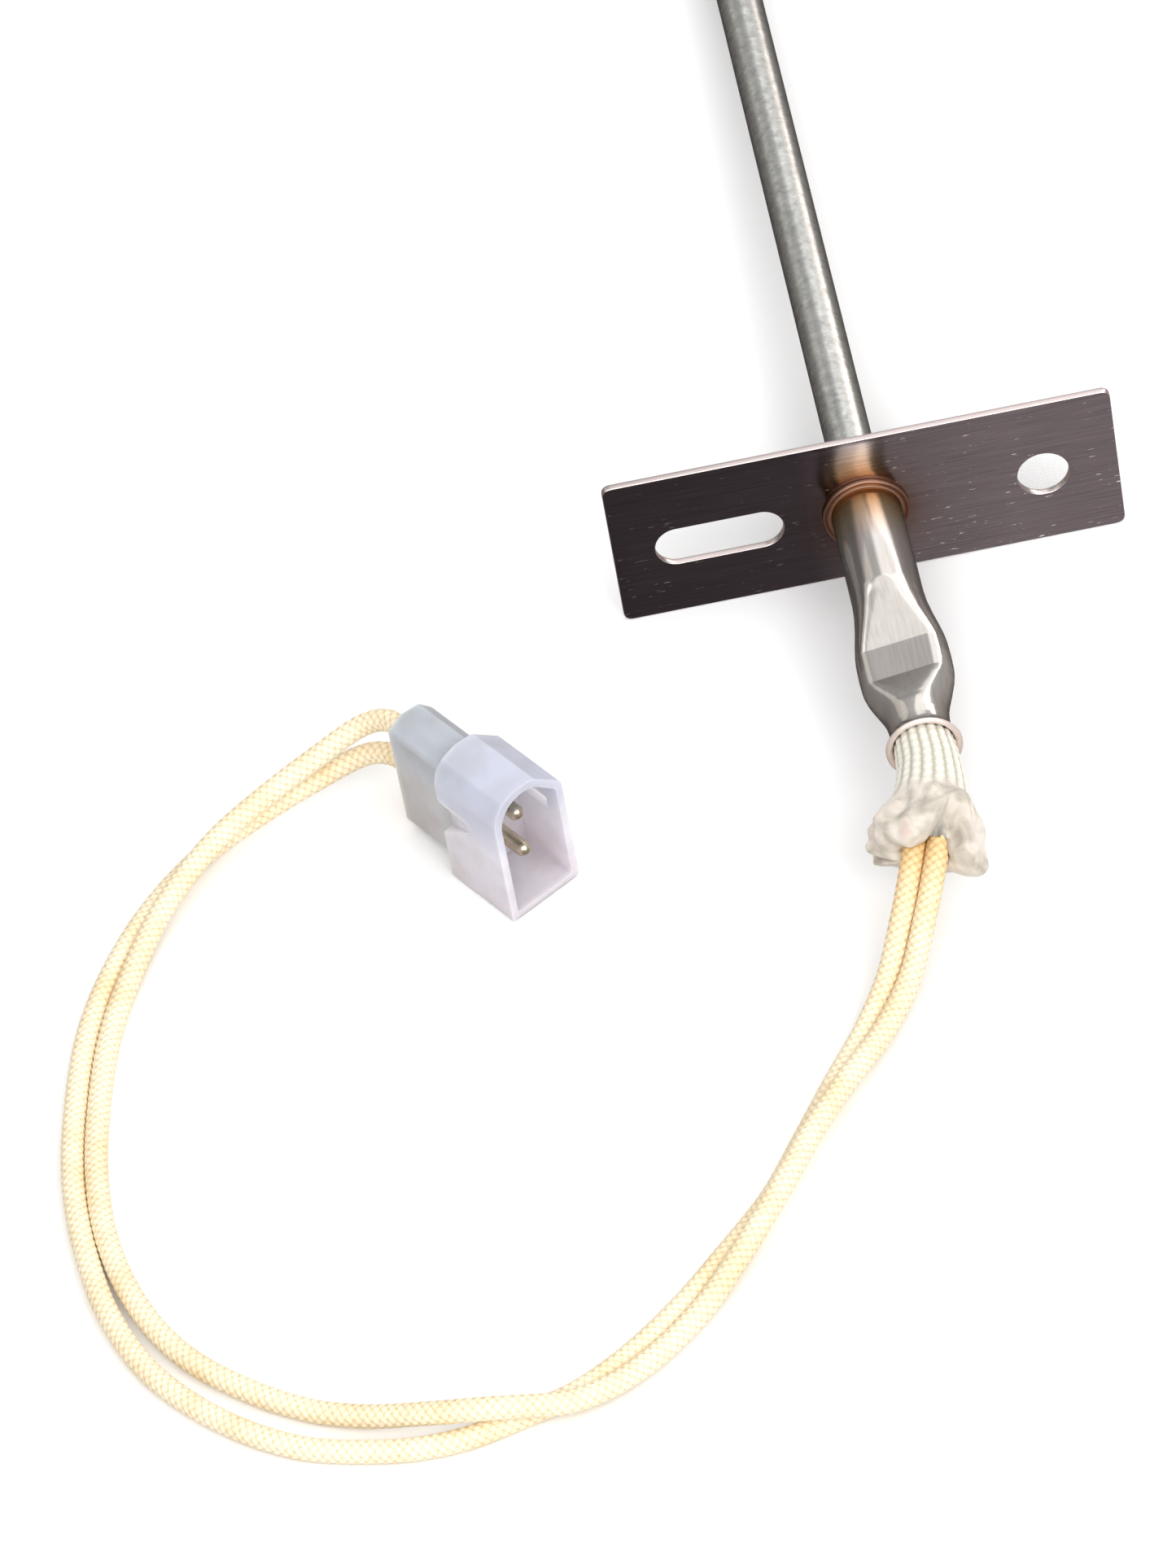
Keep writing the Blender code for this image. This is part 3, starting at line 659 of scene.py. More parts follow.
def rounded(points: Outline, radius: float, steps: int = 5) -> list[tuple[float, float]]:
    """Round the corners of an outline.

    Args:
        points: its corners in order.
        radius: how far from each corner the round starts, less where a side is short.
        steps: how many sides each round has.

    Returns:
        The outline with its rounds.
    """
    smooth = []
    for i, point in enumerate(points):
        corner = Vector(point)
        before, after = Vector(points[i - 1]) - corner, Vector(points[(i + 1) % len(points)]) - corner
        cut = min(radius, before.length * 0.45, after.length * 0.45)
        start, end = corner + before.normalized() * cut, corner + after.normalized() * cut
        for step in range(steps + 1):
            t = step / steps
            smooth.append(tuple(start * (1 - t) ** 2 + corner * (2 * t * (1 - t)) + end * t * t))
    return smooth


def prism(outline: Outline, low: float, high: float) -> Shape:
    """Extrude an outline along Y.

    Args:
        outline: x and z of its corners, in millimetres.
        low: where it starts.
        high: where it ends.

    Returns:
        The prism, in metres.
    """
    shape = bmesh.new()
    ends = [[shape.verts.new(Vector((x, y, z)) * MM) for x, z in outline] for y in (low, high)]
    bridge(shape, *ends)
    for end in ends:
        shape.faces.new(end)
    return shape


def smooth_step(t: float) -> float:
    """Ease from 0 to 1, held at the ends."""
    t = min(max(t, 0.0), 1.0)
    return t * t * (3.0 - 2.0 * t)


def between(rows: Sequence[Sequence[float]], place: float) -> list[float]:
    """Read a table at a place in its first column, which rises.

    Args:
        rows: the table.
        place: the value of the first column.

    Returns:
        The other columns there.
    """
    for low, high in zip(rows, rows[1:]):
        if place <= high[0]:
            t = max(0.0, (place - low[0]) / (high[0] - low[0]))
            return [a + (b - a) * t for a, b in zip(low[1:], high[1:])]
    return list(rows[-1][1:])


# --- geometry nodes --------------------------------------------------------------------------------------

Inputs = dict[str, tuple[str, Any]]


@dataclass(frozen=True)
class Braid:
    """A tubular braid as a height over a tube: yarns in two hands, each over and under the other.

    flat and steep are the powers that round the yarn on top and the yarn below it.
    """

    carriers: int
    cell: float
    relief: float
    steep: float = 0.85
    flat: float = 0.30

    def inputs(self, finish: Finish) -> Inputs:
        """What a braid's geometry tree is told: the type and value of each input."""
        return {
            "Carriers": ("NodeSocketInt", self.carriers),
            "Cell": ("NodeSocketFloat", self.cell * MM),
            "Relief": ("NodeSocketFloat", self.relief * MM),
            "Finish": ("NodeSocketMaterial", finish.material()),
        }

    def crown(self, tree: Tree, around: Socket, along: Socket, given: dict[str, Socket]) -> Socket:
        """Work out how high the uppermost yarn stands.

        Args:
            tree: the geometry tree.
            around: place round the tube, from 0 to 1.
            along: place along the tube, in metres.
            given: the tree's inputs.

        Returns:
            A height from 0 in the gaps to 1 on the yarns.
        """
        add = partial(add_node, tree, MATH)
        turns = add({0: around, 1: given["Carriers"]}, operation="MULTIPLY")
        rises = add({0: along, 1: given["Cell"]}, operation="DIVIDE")
        waves, floors = [], []
        for hand in ("ADD", "SUBTRACT"):
            yarn = add({0: turns, 1: rises}, operation=hand)
            angle = add({0: yarn, 1: math.pi}, operation="MULTIPLY")
            waves.append(add({0: add({0: angle}, operation="SINE")}, operation="ABSOLUTE"))
            floors.append(add({0: yarn}, operation="FLOOR"))
        count = add({0: floors[0], 1: floors[1]}, operation="ADD")
        over = add({0: count, 1: 2.0}, operation="FLOORED_MODULO")
        powers = []
        for wave, start, end in ((waves[0], self.flat, self.steep), (waves[1], self.steep, self.flat)):
            power = add({0: over, 1: end - start, 2: start}, operation="MULTIPLY_ADD")
            powers.append(add({0: wave, 1: power}, operation="POWER"))
        return add({0: powers[0], 1: powers[1]}, operation="MULTIPLY")

    def raise_surface(self, tree: Tree, mesh: Socket, crown: Socket, amount: Socket, finish: Socket) -> Socket:
        """Move a tube's surface out by the braid's height, smooth it, and dress it.

        Args:
            tree: the geometry tree.
            mesh: the tube.
            crown: the height from 0 to 1.
            amount: the yarns' real height at each point, in metres.
            finish: the material.

        Returns:
            The finished geometry.
        """
        add = partial(add_node, tree)
        stored = add(STORE, {"Geometry": mesh, "Name": "crown", "Value": crown}, data_type="FLOAT", domain="POINT")
        height = add(MATH, {0: crown, 1: amount}, operation="MULTIPLY")
        offset = add(VECTOR_MATH, {0: add("GeometryNodeInputNormal"), "Scale": height}, operation="SCALE")
        moved = add("GeometryNodeSetPosition", {"Geometry": stored, "Offset": offset})
        smooth = add("GeometryNodeSetShadeSmooth", {"Geometry": moved})
        real = add("GeometryNodeRealizeInstances", {"Geometry": smooth})
        return add("GeometryNodeSetMaterial", {"Geometry": real, "Material": finish})


def open_tree(name: str, inputs: Inputs) -> tuple[Tree, dict[str, Socket]]:
    """Start a geometry tree with its inputs and one geometry output.

    Args:
        name: the tree's name.
        inputs: what it can be told, after its geometry.

    Returns:
        The tree and, by name, the sockets that give its inputs.
    """
    tree = bpy.data.node_groups.new(name, "GeometryNodeTree")
    for label, (kind, _) in {"Geometry": ("NodeSocketGeometry", None), **inputs}.items():
        tree.interface.new_socket(label, in_out="INPUT", socket_type=kind)
    tree.interface.new_socket("Geometry", in_out="OUTPUT", socket_type="NodeSocketGeometry")
    source = add_node(tree, "NodeGroupInput").node
    return tree, {socket.name: socket for socket in source.outputs if socket.name}


def run_tree(piece: Piece, tree: Tree, end: Socket, inputs: Inputs) -> Piece:
    """Close a geometry tree, run it on a piece, and keep the result as a plain mesh.

    Args:
        piece: the piece whose geometry goes in.
        tree: the tree.
        end: the geometry that comes out.
        inputs: the values for the tree's inputs.

    Returns:
        The plain mesh piece.
    """
    add_node(tree, "NodeGroupOutput", {0: end})
    modifier = piece.modifiers.new(tree.name, "NODES")
    modifier.node_group = tree
    names = {item.name: item.identifier for item in tree.interface.items_tree if item.in_out == "INPUT"}
    for label, (_, value) in inputs.items():
        modifier[names[label]] = value
    return settle(piece)


# --- the probe -------------------------------------------------------------------------------------------


@dataclass(frozen=True)
class ProbeSeat:
    """How the probe lies: its flange on edge, its tube falling to the tip."""

    flange_y: float = -52.0
    tube_height: float = 8.0
    tube_radius: float = 2.38
    tube_tip: float = 153.8
    flange_thickness: float = 0.8

    @property
    def matrix(self) -> Matrix:
        """From the probe's own frame, whose Y = 0 is the flange's mounting face, to the row frame."""
        drop = math.asin((self.tube_height - self.tube_radius) / (self.tube_tip - self.tube_radius))
        lift = self.flange_thickness * math.sin(drop)
        return Matrix.Translation(Vector((0.0, self.flange_y, lift)) * MM) @ Matrix.Rotation(-drop, 4, "X")

    def axis_point(self, back: float) -> Vector:
        """A point on the ferrule's axis, this far behind the flange, in metres."""
        return self.matrix @ (Vector((0.0, -back, self.tube_height)) * MM)


@dataclass
class ProbeTube:
    """Drawn tube with a round closed tip, open inside the ferrule."""

    seat: ProbeSeat
    wall: float = 0.5
    tail: float = -6.0
    tail_edge: float = 0.12
    sides: int = 112
    tip_steps: int = 14
    ring_pitch: float = 4.0

    def build(self) -> None:
        """Turn the tube."""
        outer, tip = self.seat.tube_radius, self.seat.tube_tip
        inner, dome = outer - self.wall, tip - outer
        angles = [math.pi / 2 * i / self.tip_steps for i in range(self.tip_steps)]
        count = round((dome - self.tail) / self.ring_pitch)
        profile = [(outer - self.tail_edge, self.tail), (outer, self.tail + self.tail_edge)]
        profile += [(outer, self.tail + (dome - self.tail) * i / count) for i in range(1, count)]
        profile += [(outer * math.cos(a), dome + outer * math.sin(a)) for a in angles]
        profile += [(0.0, tip), (0.0, tip - self.wall)]
        profile += [(inner * math.cos(a), dome + inner * math.sin(a)) for a in reversed(angles)]
        profile.append((inner, self.tail))
        shape = turned(profile, self.sides, self.seat.tube_height)
        keep(mesh_piece("drawn_tube", shape, TUBE_FINISH, self.seat.matrix), TUBE_FINISH, "probe_tube")


@dataclass
class MountingFlange:
    """Pressed sheet flange with a screw hole, an adjusting slot and the tube's hole."""

    seat: ProbeSeat
    length: float = 50.8
    height: float = 17.5
    corner: float = 1.0
    clearance: float = 0.1
    fixing_height: float = 8.4
    hole_x: float = 17.9
    hole_radius: float = 2.6
    hole_sides: int = 72
    slot_x: float = -14.7
    slot_length: float = 12.9
    slot_height: float = 4.5
    edge: float = 0.13
    weld: float = 0.002

    def outlines(self) -> list[list[tuple[float, float]]]:
        """The plate's outline and those of its openings, as x and height."""
        half, slot = self.length / 2, self.slot_height / 2
        plate = rounded([(-half, 0.0), (half, 0.0), (half, self.height), (-half, self.height)], self.corner, 8)
        outlines = [plate]
        for x, z, radius, flat in (
            (0.0, self.seat.tube_height, self.seat.tube_radius + self.clearance, 0.0),
            (self.hole_x, self.fixing_height, self.hole_radius, 0.0),
            (self.slot_x, self.fixing_height, slot, self.slot_length / 2 - slot),
        ):
            angles = [TURN * (i + 0.5) / self.hole_sides for i in range(self.hole_sides)]
            outlines.append([
                (x + math.copysign(flat, math.cos(a)) + radius * math.cos(a), z + radius * math.sin(a))
                for a in angles
            ])
        return outlines

    def build(self) -> None:
        """Cut the plate as a filled curve with rounded edges, and mark its sheared edges."""
        outlines = [[(x * MM, z * MM, 0.0) for x, z in outline] for outline in self.outlines()]
        blank = curve_piece("flange_blank", outlines, cyclic=True)
        curve = blank.data
        curve.fill_mode = "BOTH"
        curve.extrude = (self.seat.flange_thickness / 2 - self.edge) * MM
        curve.bevel_depth = self.edge * MM
        curve.bevel_resolution = 2
        curve.offset = -self.edge * MM
        blank = settle(blank)
        shape = bmesh.new()
        shape.from_mesh(blank.data)
        bpy.data.objects.remove(blank)
        bmesh.ops.remove_doubles(shape, verts=shape.verts, dist=self.weld * MM)
        stand = Matrix.Translation((0.0, self.seat.flange_thickness / 2 * MM, 0.0))
        shape.transform(stand @ Matrix.Rotation(math.pi / 2, 4, "X"))
        shape.normal_update()
        for face in shape.faces:
            face.material_index = int(abs(face.normal.y) < 0.9)
        piece = mesh_piece("pressed_flange", shape, SHEET_FINISH, self.seat.matrix, 30.0)
        piece.data.materials.append(EDGE_FINISH.material())
        keep(piece, SHEET_FINISH, "mounting_flange")


@dataclass
class BrazeFillet:
    """Fillet of braze in the corner between the ferrule and the flange, as radius and y."""

    seat: ProbeSeat
    sides: int = 144
    wander: float = 0.09
    waves: float = 1.7
    profile: Outline = (
        (3.50, 0.02), (4.30, 0.02), (4.36, -0.10), (4.33, -0.34), (4.24, -0.46), (4.12, -0.44),
        (4.02, -0.30), (3.86, -0.22), (3.68, -0.24), (3.56, -0.34), (3.50, -0.36),
    )

    def wobble(self, angle: float) -> float:
        """How far the edge wanders at an angle, as metal does that flowed by itself."""
        return self.wander * noise.noise((math.cos(angle) * self.waves, math.sin(angle) * self.waves, 0.3))

    def build(self) -> None:
        """Turn the fillet."""
        shape = turned(self.profile, self.sides, self.seat.tube_height, self.wobble)
        keep(mesh_piece("braze_fillet", shape, BRAZE_FINISH, self.seat.matrix, 60.0), BRAZE_FINISH, "braze_ring")


@dataclass
class CrimpFerrule:
    """Ferrule pressed flat between two flat jaws, with a rolled mouth.

    Each station holds its distance behind the flange, half its width, half the height it would have unpressed,
    and half the height that the jaws leave it. The rim holds distances and radii.
    """

    seat: ProbeSeat
    roll: float = 8.0
    wall: float = 0.5
    sides: int = 168
    pitch: float = 0.32
    fold: float = 0.34
    jaws: tuple[float, float] = (21.3, 25.6)
    jaw_edge: float = 0.12
    stations: Sequence[tuple[float, float, float, float]] = (
        (0.05, 3.57, 3.57, 3.57), (13.2, 3.57, 3.57, 3.57), (15.0, 3.68, 3.42, 3.19), (17.0, 3.96, 3.26, 2.78),
        (19.0, 4.32, 3.09, 2.36), (20.2, 4.50, 2.99, 2.11), (21.3, 4.60, 2.90, 1.88), (23.4, 4.64, 2.87, 1.88),
        (25.0, 4.60, 2.85, 1.88), (25.6, 4.54, 2.85, 1.88), (26.6, 4.34, 2.89, 2.13), (28.0, 3.88, 2.95, 2.48),
        (29.3, 3.40, 3.01, 2.80), (30.3, 3.14, 3.04, 2.98), (31.4, 3.02, 3.01, 3.00), (32.4, 3.00, 3.00, 3.00),
        (33.1, 3.04, 3.04, 3.04), (33.5, 3.12, 3.12, 3.12),
    )
    rim: Outline = (
        (33.9, 3.26), (34.1, 3.46), (34.2, 3.64), (34.38, 3.76), (34.58, 3.74), (34.70, 3.60), (34.72, 3.40),
        (34.58, 3.22), (34.3, 3.04),
    )

    def section(self, back: float, side: float, crown: float, press: float) -> list[Vector]:
        """One ring of the pressed tube.

        Args:
            back: its distance behind the flange.
            side: half its width.
            crown: half its unpressed height.
            press: half its height between the jaws.

        Returns:
            The ring's points in the probe's frame, in metres.
        """
        cos, sin = math.cos(math.radians(self.roll)), math.sin(math.radians(self.roll))
        soft = min(self.fold, 2.0 * (crown - press))
        ring = []
        for i in range(self.sides):
            angle = TURN * i / self.sides
            x, z = side * math.cos(angle), crown * math.sin(angle)
            if soft > 0.0:
                near = max(soft - abs(abs(z) - press), 0.0) / soft
                z = math.copysign(min(abs(z), press) - near * near * soft / 4, z)
            ring.append(Vector((x * cos - z * sin, -back, self.seat.tube_height + x * sin + z * cos)) * MM)
        return ring

    def build(self) -> None:
        """Loft the ferrule outside, over its rim, and back inside."""
        places = {station[0] for station in self.stations}
        places |= {jaw + shift for jaw in self.jaws for shift in (-self.jaw_edge, self.jaw_edge)}
        first, last = self.stations[0][0], self.stations[-1][0]
        count = round((last - first) / self.pitch)
        places |= {round(first + (last - first) * i / count, 3) for i in range(count + 1)}
        ordered: list[float] = []
        for place in sorted(places):
            if not ordered or place - ordered[-1] > 0.05:
                ordered.append(place)
        rings = [self.section(back, *between(self.stations, back)) for back in ordered]
        rings += [self.section(back, radius, radius, radius) for back, radius in self.rim]
        for back in reversed(ordered):
            rings.append(self.section(back, *(size - self.wall for size in between(self.stations, back))))
        shape = closed_loft(rings)
        shape.faces.ensure_lookup_table()
        bead = slice((len(ordered) + 1) * self.sides, (len(ordered) + len(self.rim) - 1) * self.sides)
        for face in shape.faces[bead]:
            face.material_index = 1
        piece = mesh_piece("pressed_ferrule", shape, FERRULE_FINISH, self.seat.matrix, 50.0)
        piece.data.materials.append(RIM_FINISH.material())
        keep(piece, FERRULE_FINISH, "crimp_ferrule")


# --- the leads -------------------------------------------------------------------------------------------


@dataclass(frozen=True)
class PairRoute:
    """The way of the two leads from the ferrule to the plug. The diameter is in metres.

    Each row holds x and y of the pair's middle, the space under its lower lead, its roll in degrees (0 is side by
    side, 90 is one above the other), and the distance between the two leads.
    """

    lead_diameter: float = 2.15 * MM
    steps: int = 24
    rows: Sequence[tuple[float, float, float, float, float]] = (
        (0.0, -89.2, 8.28, 0, 2.28), (-0.4, -92.2, 8.23, 0, 2.28), (-1.3, -95.8, 7.90, 0, 2.28),
        (-2.6, -99.8, 6.90, 0, 2.28), (-4.6, -104.2, 4.45, 2, 2.28), (-7.2, -109.2, 1.75, 8, 2.28),
        (-10.6, -114.2, 0.30, 22, 2.28), (-14.3, -119.2, 0.10, 42, 2.28), (-18.4, -125.2, 0.10, 58, 2.28),
        (-22.9, -132.0, 0.10, 58, 2.28), (-27.9, -138.0, 0.10, 34, 2.28), (-32.6, -143.0, 0.10, 14, 2.28),
        (-38.2, -147.6, 0.10, 14, 2.28), (-44.0, -150.7, 0.10, 34, 2.28), (-50.0, -151.8, 0.10, 76, 2.60),
        (-56.0, -151.8, 0.10, 128, 2.85), (-62.2, -150.4, 0.10, 168, 3.60), (-69.0, -147.8, 0.10, 180, 4.30),
        (-75.0, -143.5, 0.10, 180, 4.10), (-80.5, -137.3, 0.10, 180, 3.50), (-84.0, -129.8, 0.10, 180, 2.85),
        (-85.8, -121.0, 0.10, 180, 2.28), (-86.0, -112.0, 0.10, 180, 2.28), (-84.8, -103.0, 0.10, 180, 2.28),
        (-82.8, -94.5, 0.10, 178, 2.28), (-79.6, -87.0, 0.10, 165, 2.28), (-75.2, -79.9, 0.10, 142, 2.28),
        (-69.6, -74.2, 0.35, 122, 2.60), (-63.4, -70.8, 1.30, 106, 2.75), (-57.8, -69.0, 2.60, 96, 3.20),
        (-53.2, -68.1, 3.70, 92, 4.00), (-50.5, -69.0, 4.15, 90, 4.80), (-48.9, -70.9, 4.30, 90, 5.08),
        (-47.8, -72.5, 4.33, 90, 5.08), (-46.7, -74.2, 4.33, 90, 5.08),
    )

    def sampled(self, spacing: float, count: int | None = None) -> list[list[float]]:
        """Read a smooth curve through the rows.

        Args:
            spacing: the distance between its points, in metres.
            count: how many of the rows to follow, or all of them.

        Returns:
            Rows of the same five columns, with lengths in metres.
        """
        rows = [(x * MM, y * MM, space * MM, roll, apart * MM) for x, y, space, roll, apart in self.rows[:count]]
        fine = []
        for i in range(len(rows) - 1):
            corners = rows[max(i - 1, 0)], rows[i], rows[i + 1], rows[min(i + 2, len(rows) - 1)]
            for t in (step / self.steps for step in range(self.steps)):
                fine.append([
                    0.5 * (2 * b + (c - a) * t + (2 * a - 5 * b + 4 * c - d) * t * t
                           + (3 * b - a - 3 * c + d) * t ** 3)
                    for a, b, c, d in zip(*corners)
                ])
        fine.append(list(rows[-1]))
        table = [[0.0, *fine[0]]]
        for first, second in zip(fine, fine[1:]):
            table.append([table[-1][0] + (Vector(second[:3]) - Vector(first[:3])).length, *second])
        length = table[-1][0]
        total = round(length / spacing)
        return [between(table, length * i / total) for i in range(total + 1)]

    def lead(self, side: Side, spacing: float) -> list[Vector]:
        """The centreline of one lead.

        Args:
            side: which lead.
            spacing: the distance between its points, in metres.

        Returns:
            Its points, in metres.
        """
        rows = self.sampled(spacing)
        points = []
        for i, (x, y, space, roll, distance) in enumerate(rows):
            ahead, behind = rows[min(i + 1, len(rows) - 1)], rows[max(i - 1, 0)]
            along = Vector((ahead[0] - behind[0], ahead[1] - behind[1], 0.0)).normalized()
            cos, sin = math.cos(math.radians(roll)), math.sin(math.radians(roll))
            middle = Vector((x, y, space + self.lead_diameter / 2 + distance / 2 * abs(sin)))
            offset = Vector((-along.y, along.x, 0.0)) * cos + UP * sin
            points.append(middle + offset * (side.value * distance / 2))
        return points


@dataclass
class BraidedLeads:
    """The two leads as braided tubes."""

    route: PairRoute
    braid: Braid = Braid(carriers=6, cell=0.86, relief=0.11)
    sunk: float = 0.35
    path_spacing: float = 0.7
    ring_pitch: float = 0.15
    sides: int = 50

    def braided(self, side: Side) -> Piece:
        """Sweep a circle along a lead's centreline and raise the braid on it.

        Args:
            side: which lead.

        Returns:
            The lead.
        """
        path = self.route.lead(side, self.path_spacing * MM)
        core = curve_piece("braided_lead_" + side.label, [path], cyclic=False)
        radius = self.route.lead_diameter / 2 - self.braid.relief * MM * self.sunk
        inputs = {
            "Radius": ("NodeSocketFloat", radius),
            "Ring pitch": ("NodeSocketFloat", self.ring_pitch * MM),
            "Sides": ("NodeSocketInt", self.sides),
            **self.braid.inputs(LEAD_FINISH),
        }
        tree, given = open_tree("braided lead " + side.label, inputs)
        add = partial(add_node, tree)
        even = add(
            "GeometryNodeResampleCurve", {"Curve": given["Geometry"], "Length": given["Ring pitch"]}, mode="LENGTH"
        )
        circle = add("GeometryNodeCurvePrimitiveCircle", {"Resolution": given["Sides"], "Radius": given["Radius"]})
        marked, read = {}, {}
        for name, line, measure in (("along", even, "Length"), ("around", circle, "Factor")):
            value = add("GeometryNodeSplineParameter", out=measure)
            marked[name] = add(
                STORE, {"Geometry": line, "Name": name, "Value": value}, data_type="FLOAT", domain="POINT"
            )
            read[name] = add(READ, {"Name": name}, data_type="FLOAT")
        sweep = {"Curve": marked["along"], "Profile Curve": marked["around"], "Fill Caps": True}
        tube = add("GeometryNodeCurveToMesh", sweep)
        crown = self.braid.crown(tree, read["around"], read["along"], given)
        end = self.braid.raise_surface(tree, tube, crown, given["Relief"], given["Finish"])
        return keep(run_tree(core, tree, end, inputs), LEAD_FINISH, "lead_" + side.label)

    def declare(self, leads: dict[Side, Piece], plug: dict[Side, list[Piece]]) -> None:
        """Say what each lead is: its real length, and what is on its end.

        Args:
            leads: the leads by side.
            plug: the plug's pieces that each lead carries.
        """
        for side, lead in leads.items():
            path = self.route.lead(side, self.path_spacing * MM)
            length = sum((b - a).length for a, b in zip(path, path[1:]))
            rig.cord(
                lead, exit=path[0], length=length, diameter=self.route.lead_diameter, far_end="connector",
                stiffness="limp", lay="loose", path=path, with_pieces=plug[side],
            )
            LOG.info("%s: %.1f mm long", lead.name, length / MM)


@dataclass
class GlassSleeve:
    """Braided glass sleeve, pressed in the ferrule, ribbed outside it, and bunched round the leads at its end.

    Angles round it start at the right and turn over the top. inside and form hold a place, half a width and half
    a height; lips and lobes hold an angle, a height and a half-width in degrees; folds hold a size and a push.
    bunching and flaring say between which shares of its length they grow. The folds' last ring loses the shares
    turned_in of its width, height and lips.
    """

    seat: ProbeSeat
    route: PairRoute
    braid: Braid = Braid(carriers=9, cell=1.0, relief=0.26)
    sides: int = 256
    pitch: float = 0.14
    path_pitch: float = 0.25
    route_rows: int = 7
    mouth: float = 34.0
    length: float = 13.0
    swelling: float = 0.16
    lump: tuple[float, float] = (3.0, 7.0)
    bunching: tuple[float, float] = (0.52, 0.72)
    flaring: tuple[float, float] = (0.62, 0.92)
    turned_in: Point = (0.25, 0.45, 0.3)
    rib_share: float = 0.72
    lining: Sequence[Point] = ((0.0, 2.52, 1.30), (1.0, 2.17, 2.15))
    lining_rings: int = 7
    lining_gap: float = 0.8
    cloth: tuple[float, float] = (0.45, 0.3)
    inside: Sequence[Point] = (
        (20.8, 2.70, 1.08), (25.8, 2.70, 1.08), (30.5, 2.15, 2.15), (32.6, 2.15, 2.15), (34.0, 2.60, 2.60),
    )
    form: Sequence[Point] = (
        (0.0, 2.70, 2.70), (0.30, 2.98, 2.95), (0.52, 3.35, 3.25), (0.62, 3.65, 3.50), (0.70, 4.15, 3.85),
        (0.79, 4.85, 4.15), (0.88, 5.30, 4.30), (1.0, 5.45, 4.25),
    )
    folds: Outline = ((0.97, 0.35), (0.90, 0.62), (0.80, 0.72), (0.68, 0.62), (0.56, 0.3))
    lips: Sequence[Point] = (
        (56.0, -3.9, 22.0), (114.0, 0.3, 14.0), (196.0, 1.1, 22.0), (335.0, 1.5, 30.0), (250.0, 0.6, 30.0),
    )
    lobes: Sequence[Point] = (
        (350.0, 0.55, 24.0), (172.0, 0.75, 10.0), (190.0, -3.0, 7.0), (210.0, 0.7, 13.0), (136.0, 0.45, 11.0),
        (114.0, -0.45, 7.0), (90.0, 0.25, 10.0), (66.0, -0.40, 8.0), (44.0, 0.50, 10.0), (24.0, -0.35, 7.0),
        (160.0, -0.45, 7.0), (300.0, 0.3, 18.0), (322.0, -0.5, 7.0),
    )

    @staticmethod
    def waves(angle: float, waves: Sequence[Point]) -> float:
        """Add up bell-shaped waves round the sleeve at an angle in degrees."""
        total = 0.0
        for centre, height, width in waves:
            apart = (angle - centre + 180.0) % 360.0 - 180.0
            total += height * math.exp(-((apart / width) ** 2))
        return total

    def axis(self) -> list[Vector]:
        """The sleeve's middle line from the ferrule's mouth onwards, in metres, at even steps."""
        line = [self.seat.axis_point(self.mouth), self.seat.axis_point(self.mouth + 1.2)]
        line += [Vector((x, y, space + self.route.lead_diameter / 2))
                 for x, y, space, *_ in self.route.sampled(self.path_pitch * MM, self.route_rows)]
        table = [[0.0, *line[0]]]
        for before, point in zip(line, line[1:]):
            table.append([table[-1][0] + (point - before).length, *point])
        count = int(table[-1][0] / (self.path_pitch * MM))
        return [Vector(between(table, i * self.path_pitch * MM)) for i in range(count + 1)]

    def place(self, axis: Sequence[Vector], reach: float, across: float, height: float) -> Vector:
        """A point beside the middle line.

        Args:
            axis: the middle line.
            reach: how far along it, in millimetres.
            across: how far to the right, in millimetres.
            height: how far up, in millimetres.

        Returns:
            The point, in metres.
        """
        step = min(max(reach / self.path_pitch, 0.0), len(axis) - 2.001)
        i = int(step)
        point = axis[i].lerp(axis[i + 1], step - i)
        along = (axis[min(i + 6, len(axis) - 1)] - axis[max(i - 5, 0)]).normalized()
        right = UP.cross(along).normalized()
        return point + (right * across + along.cross(right) * height) * MM

    def build(self) -> None:
        """Loft the sleeve inside the ferrule, out to its bunched end and back in, and raise its braid."""
        axis = self.axis()
        degrees = [270.0 + 360.0 * i / self.sides for i in range(self.sides)]
        turns = [(angle, math.cos(math.radians(angle)), math.sin(math.radians(angle))) for angle in degrees]
        rings, along, bunched = [], [], []

        def add(points: list[Vector], reach: float, bunch: float) -> None:
            """Keep a ring and what its points know of the braid."""
            rings.append(points)
            along.extend([reach * MM] * len(points))
            bunched.extend([bunch] * len(points))

        def pressed(back: float, side: float, crown: float) -> list[Vector]:
            """A ring inside the ferrule."""
            origin = self.seat.axis_point(back)
            return [origin + Vector((side * cos, 0.0, crown * sin)) * MM for _, cos, sin in turns]

        def loose(share: float, blend: float = 0.0, shrink: float = 1.0, push: float = 0.0) -> None:
            """Add a ring outside it, swollen by its lobes; blend, shrink and push turn its edge inwards."""
            bunch, flare = (
                smooth_step((share - start) / (end - start)) for start, end in (self.bunching, self.flaring)
            )
            thinner, lower, shorter = (1 - blend * loss for loss in self.turned_in)
            across, onward = self.lump
            width, height = between(self.form, share)
            points = []
            for angle, cos, sin in turns:
                lump = noise.noise((cos * across, sin * across, share * onward))
                swell = 1.0 + self.swelling * (flare * self.waves(angle, self.lobes) + bunch * lump)
                lip = self.waves(angle, self.lips) * share**4 * shorter
                points.append(self.place(
                    axis, share * self.length + lip + push, width * swell * shrink * thinner * cos,
                    height * swell * shrink * lower * sin,
                ))
            add(points, share * self.length, bunch)

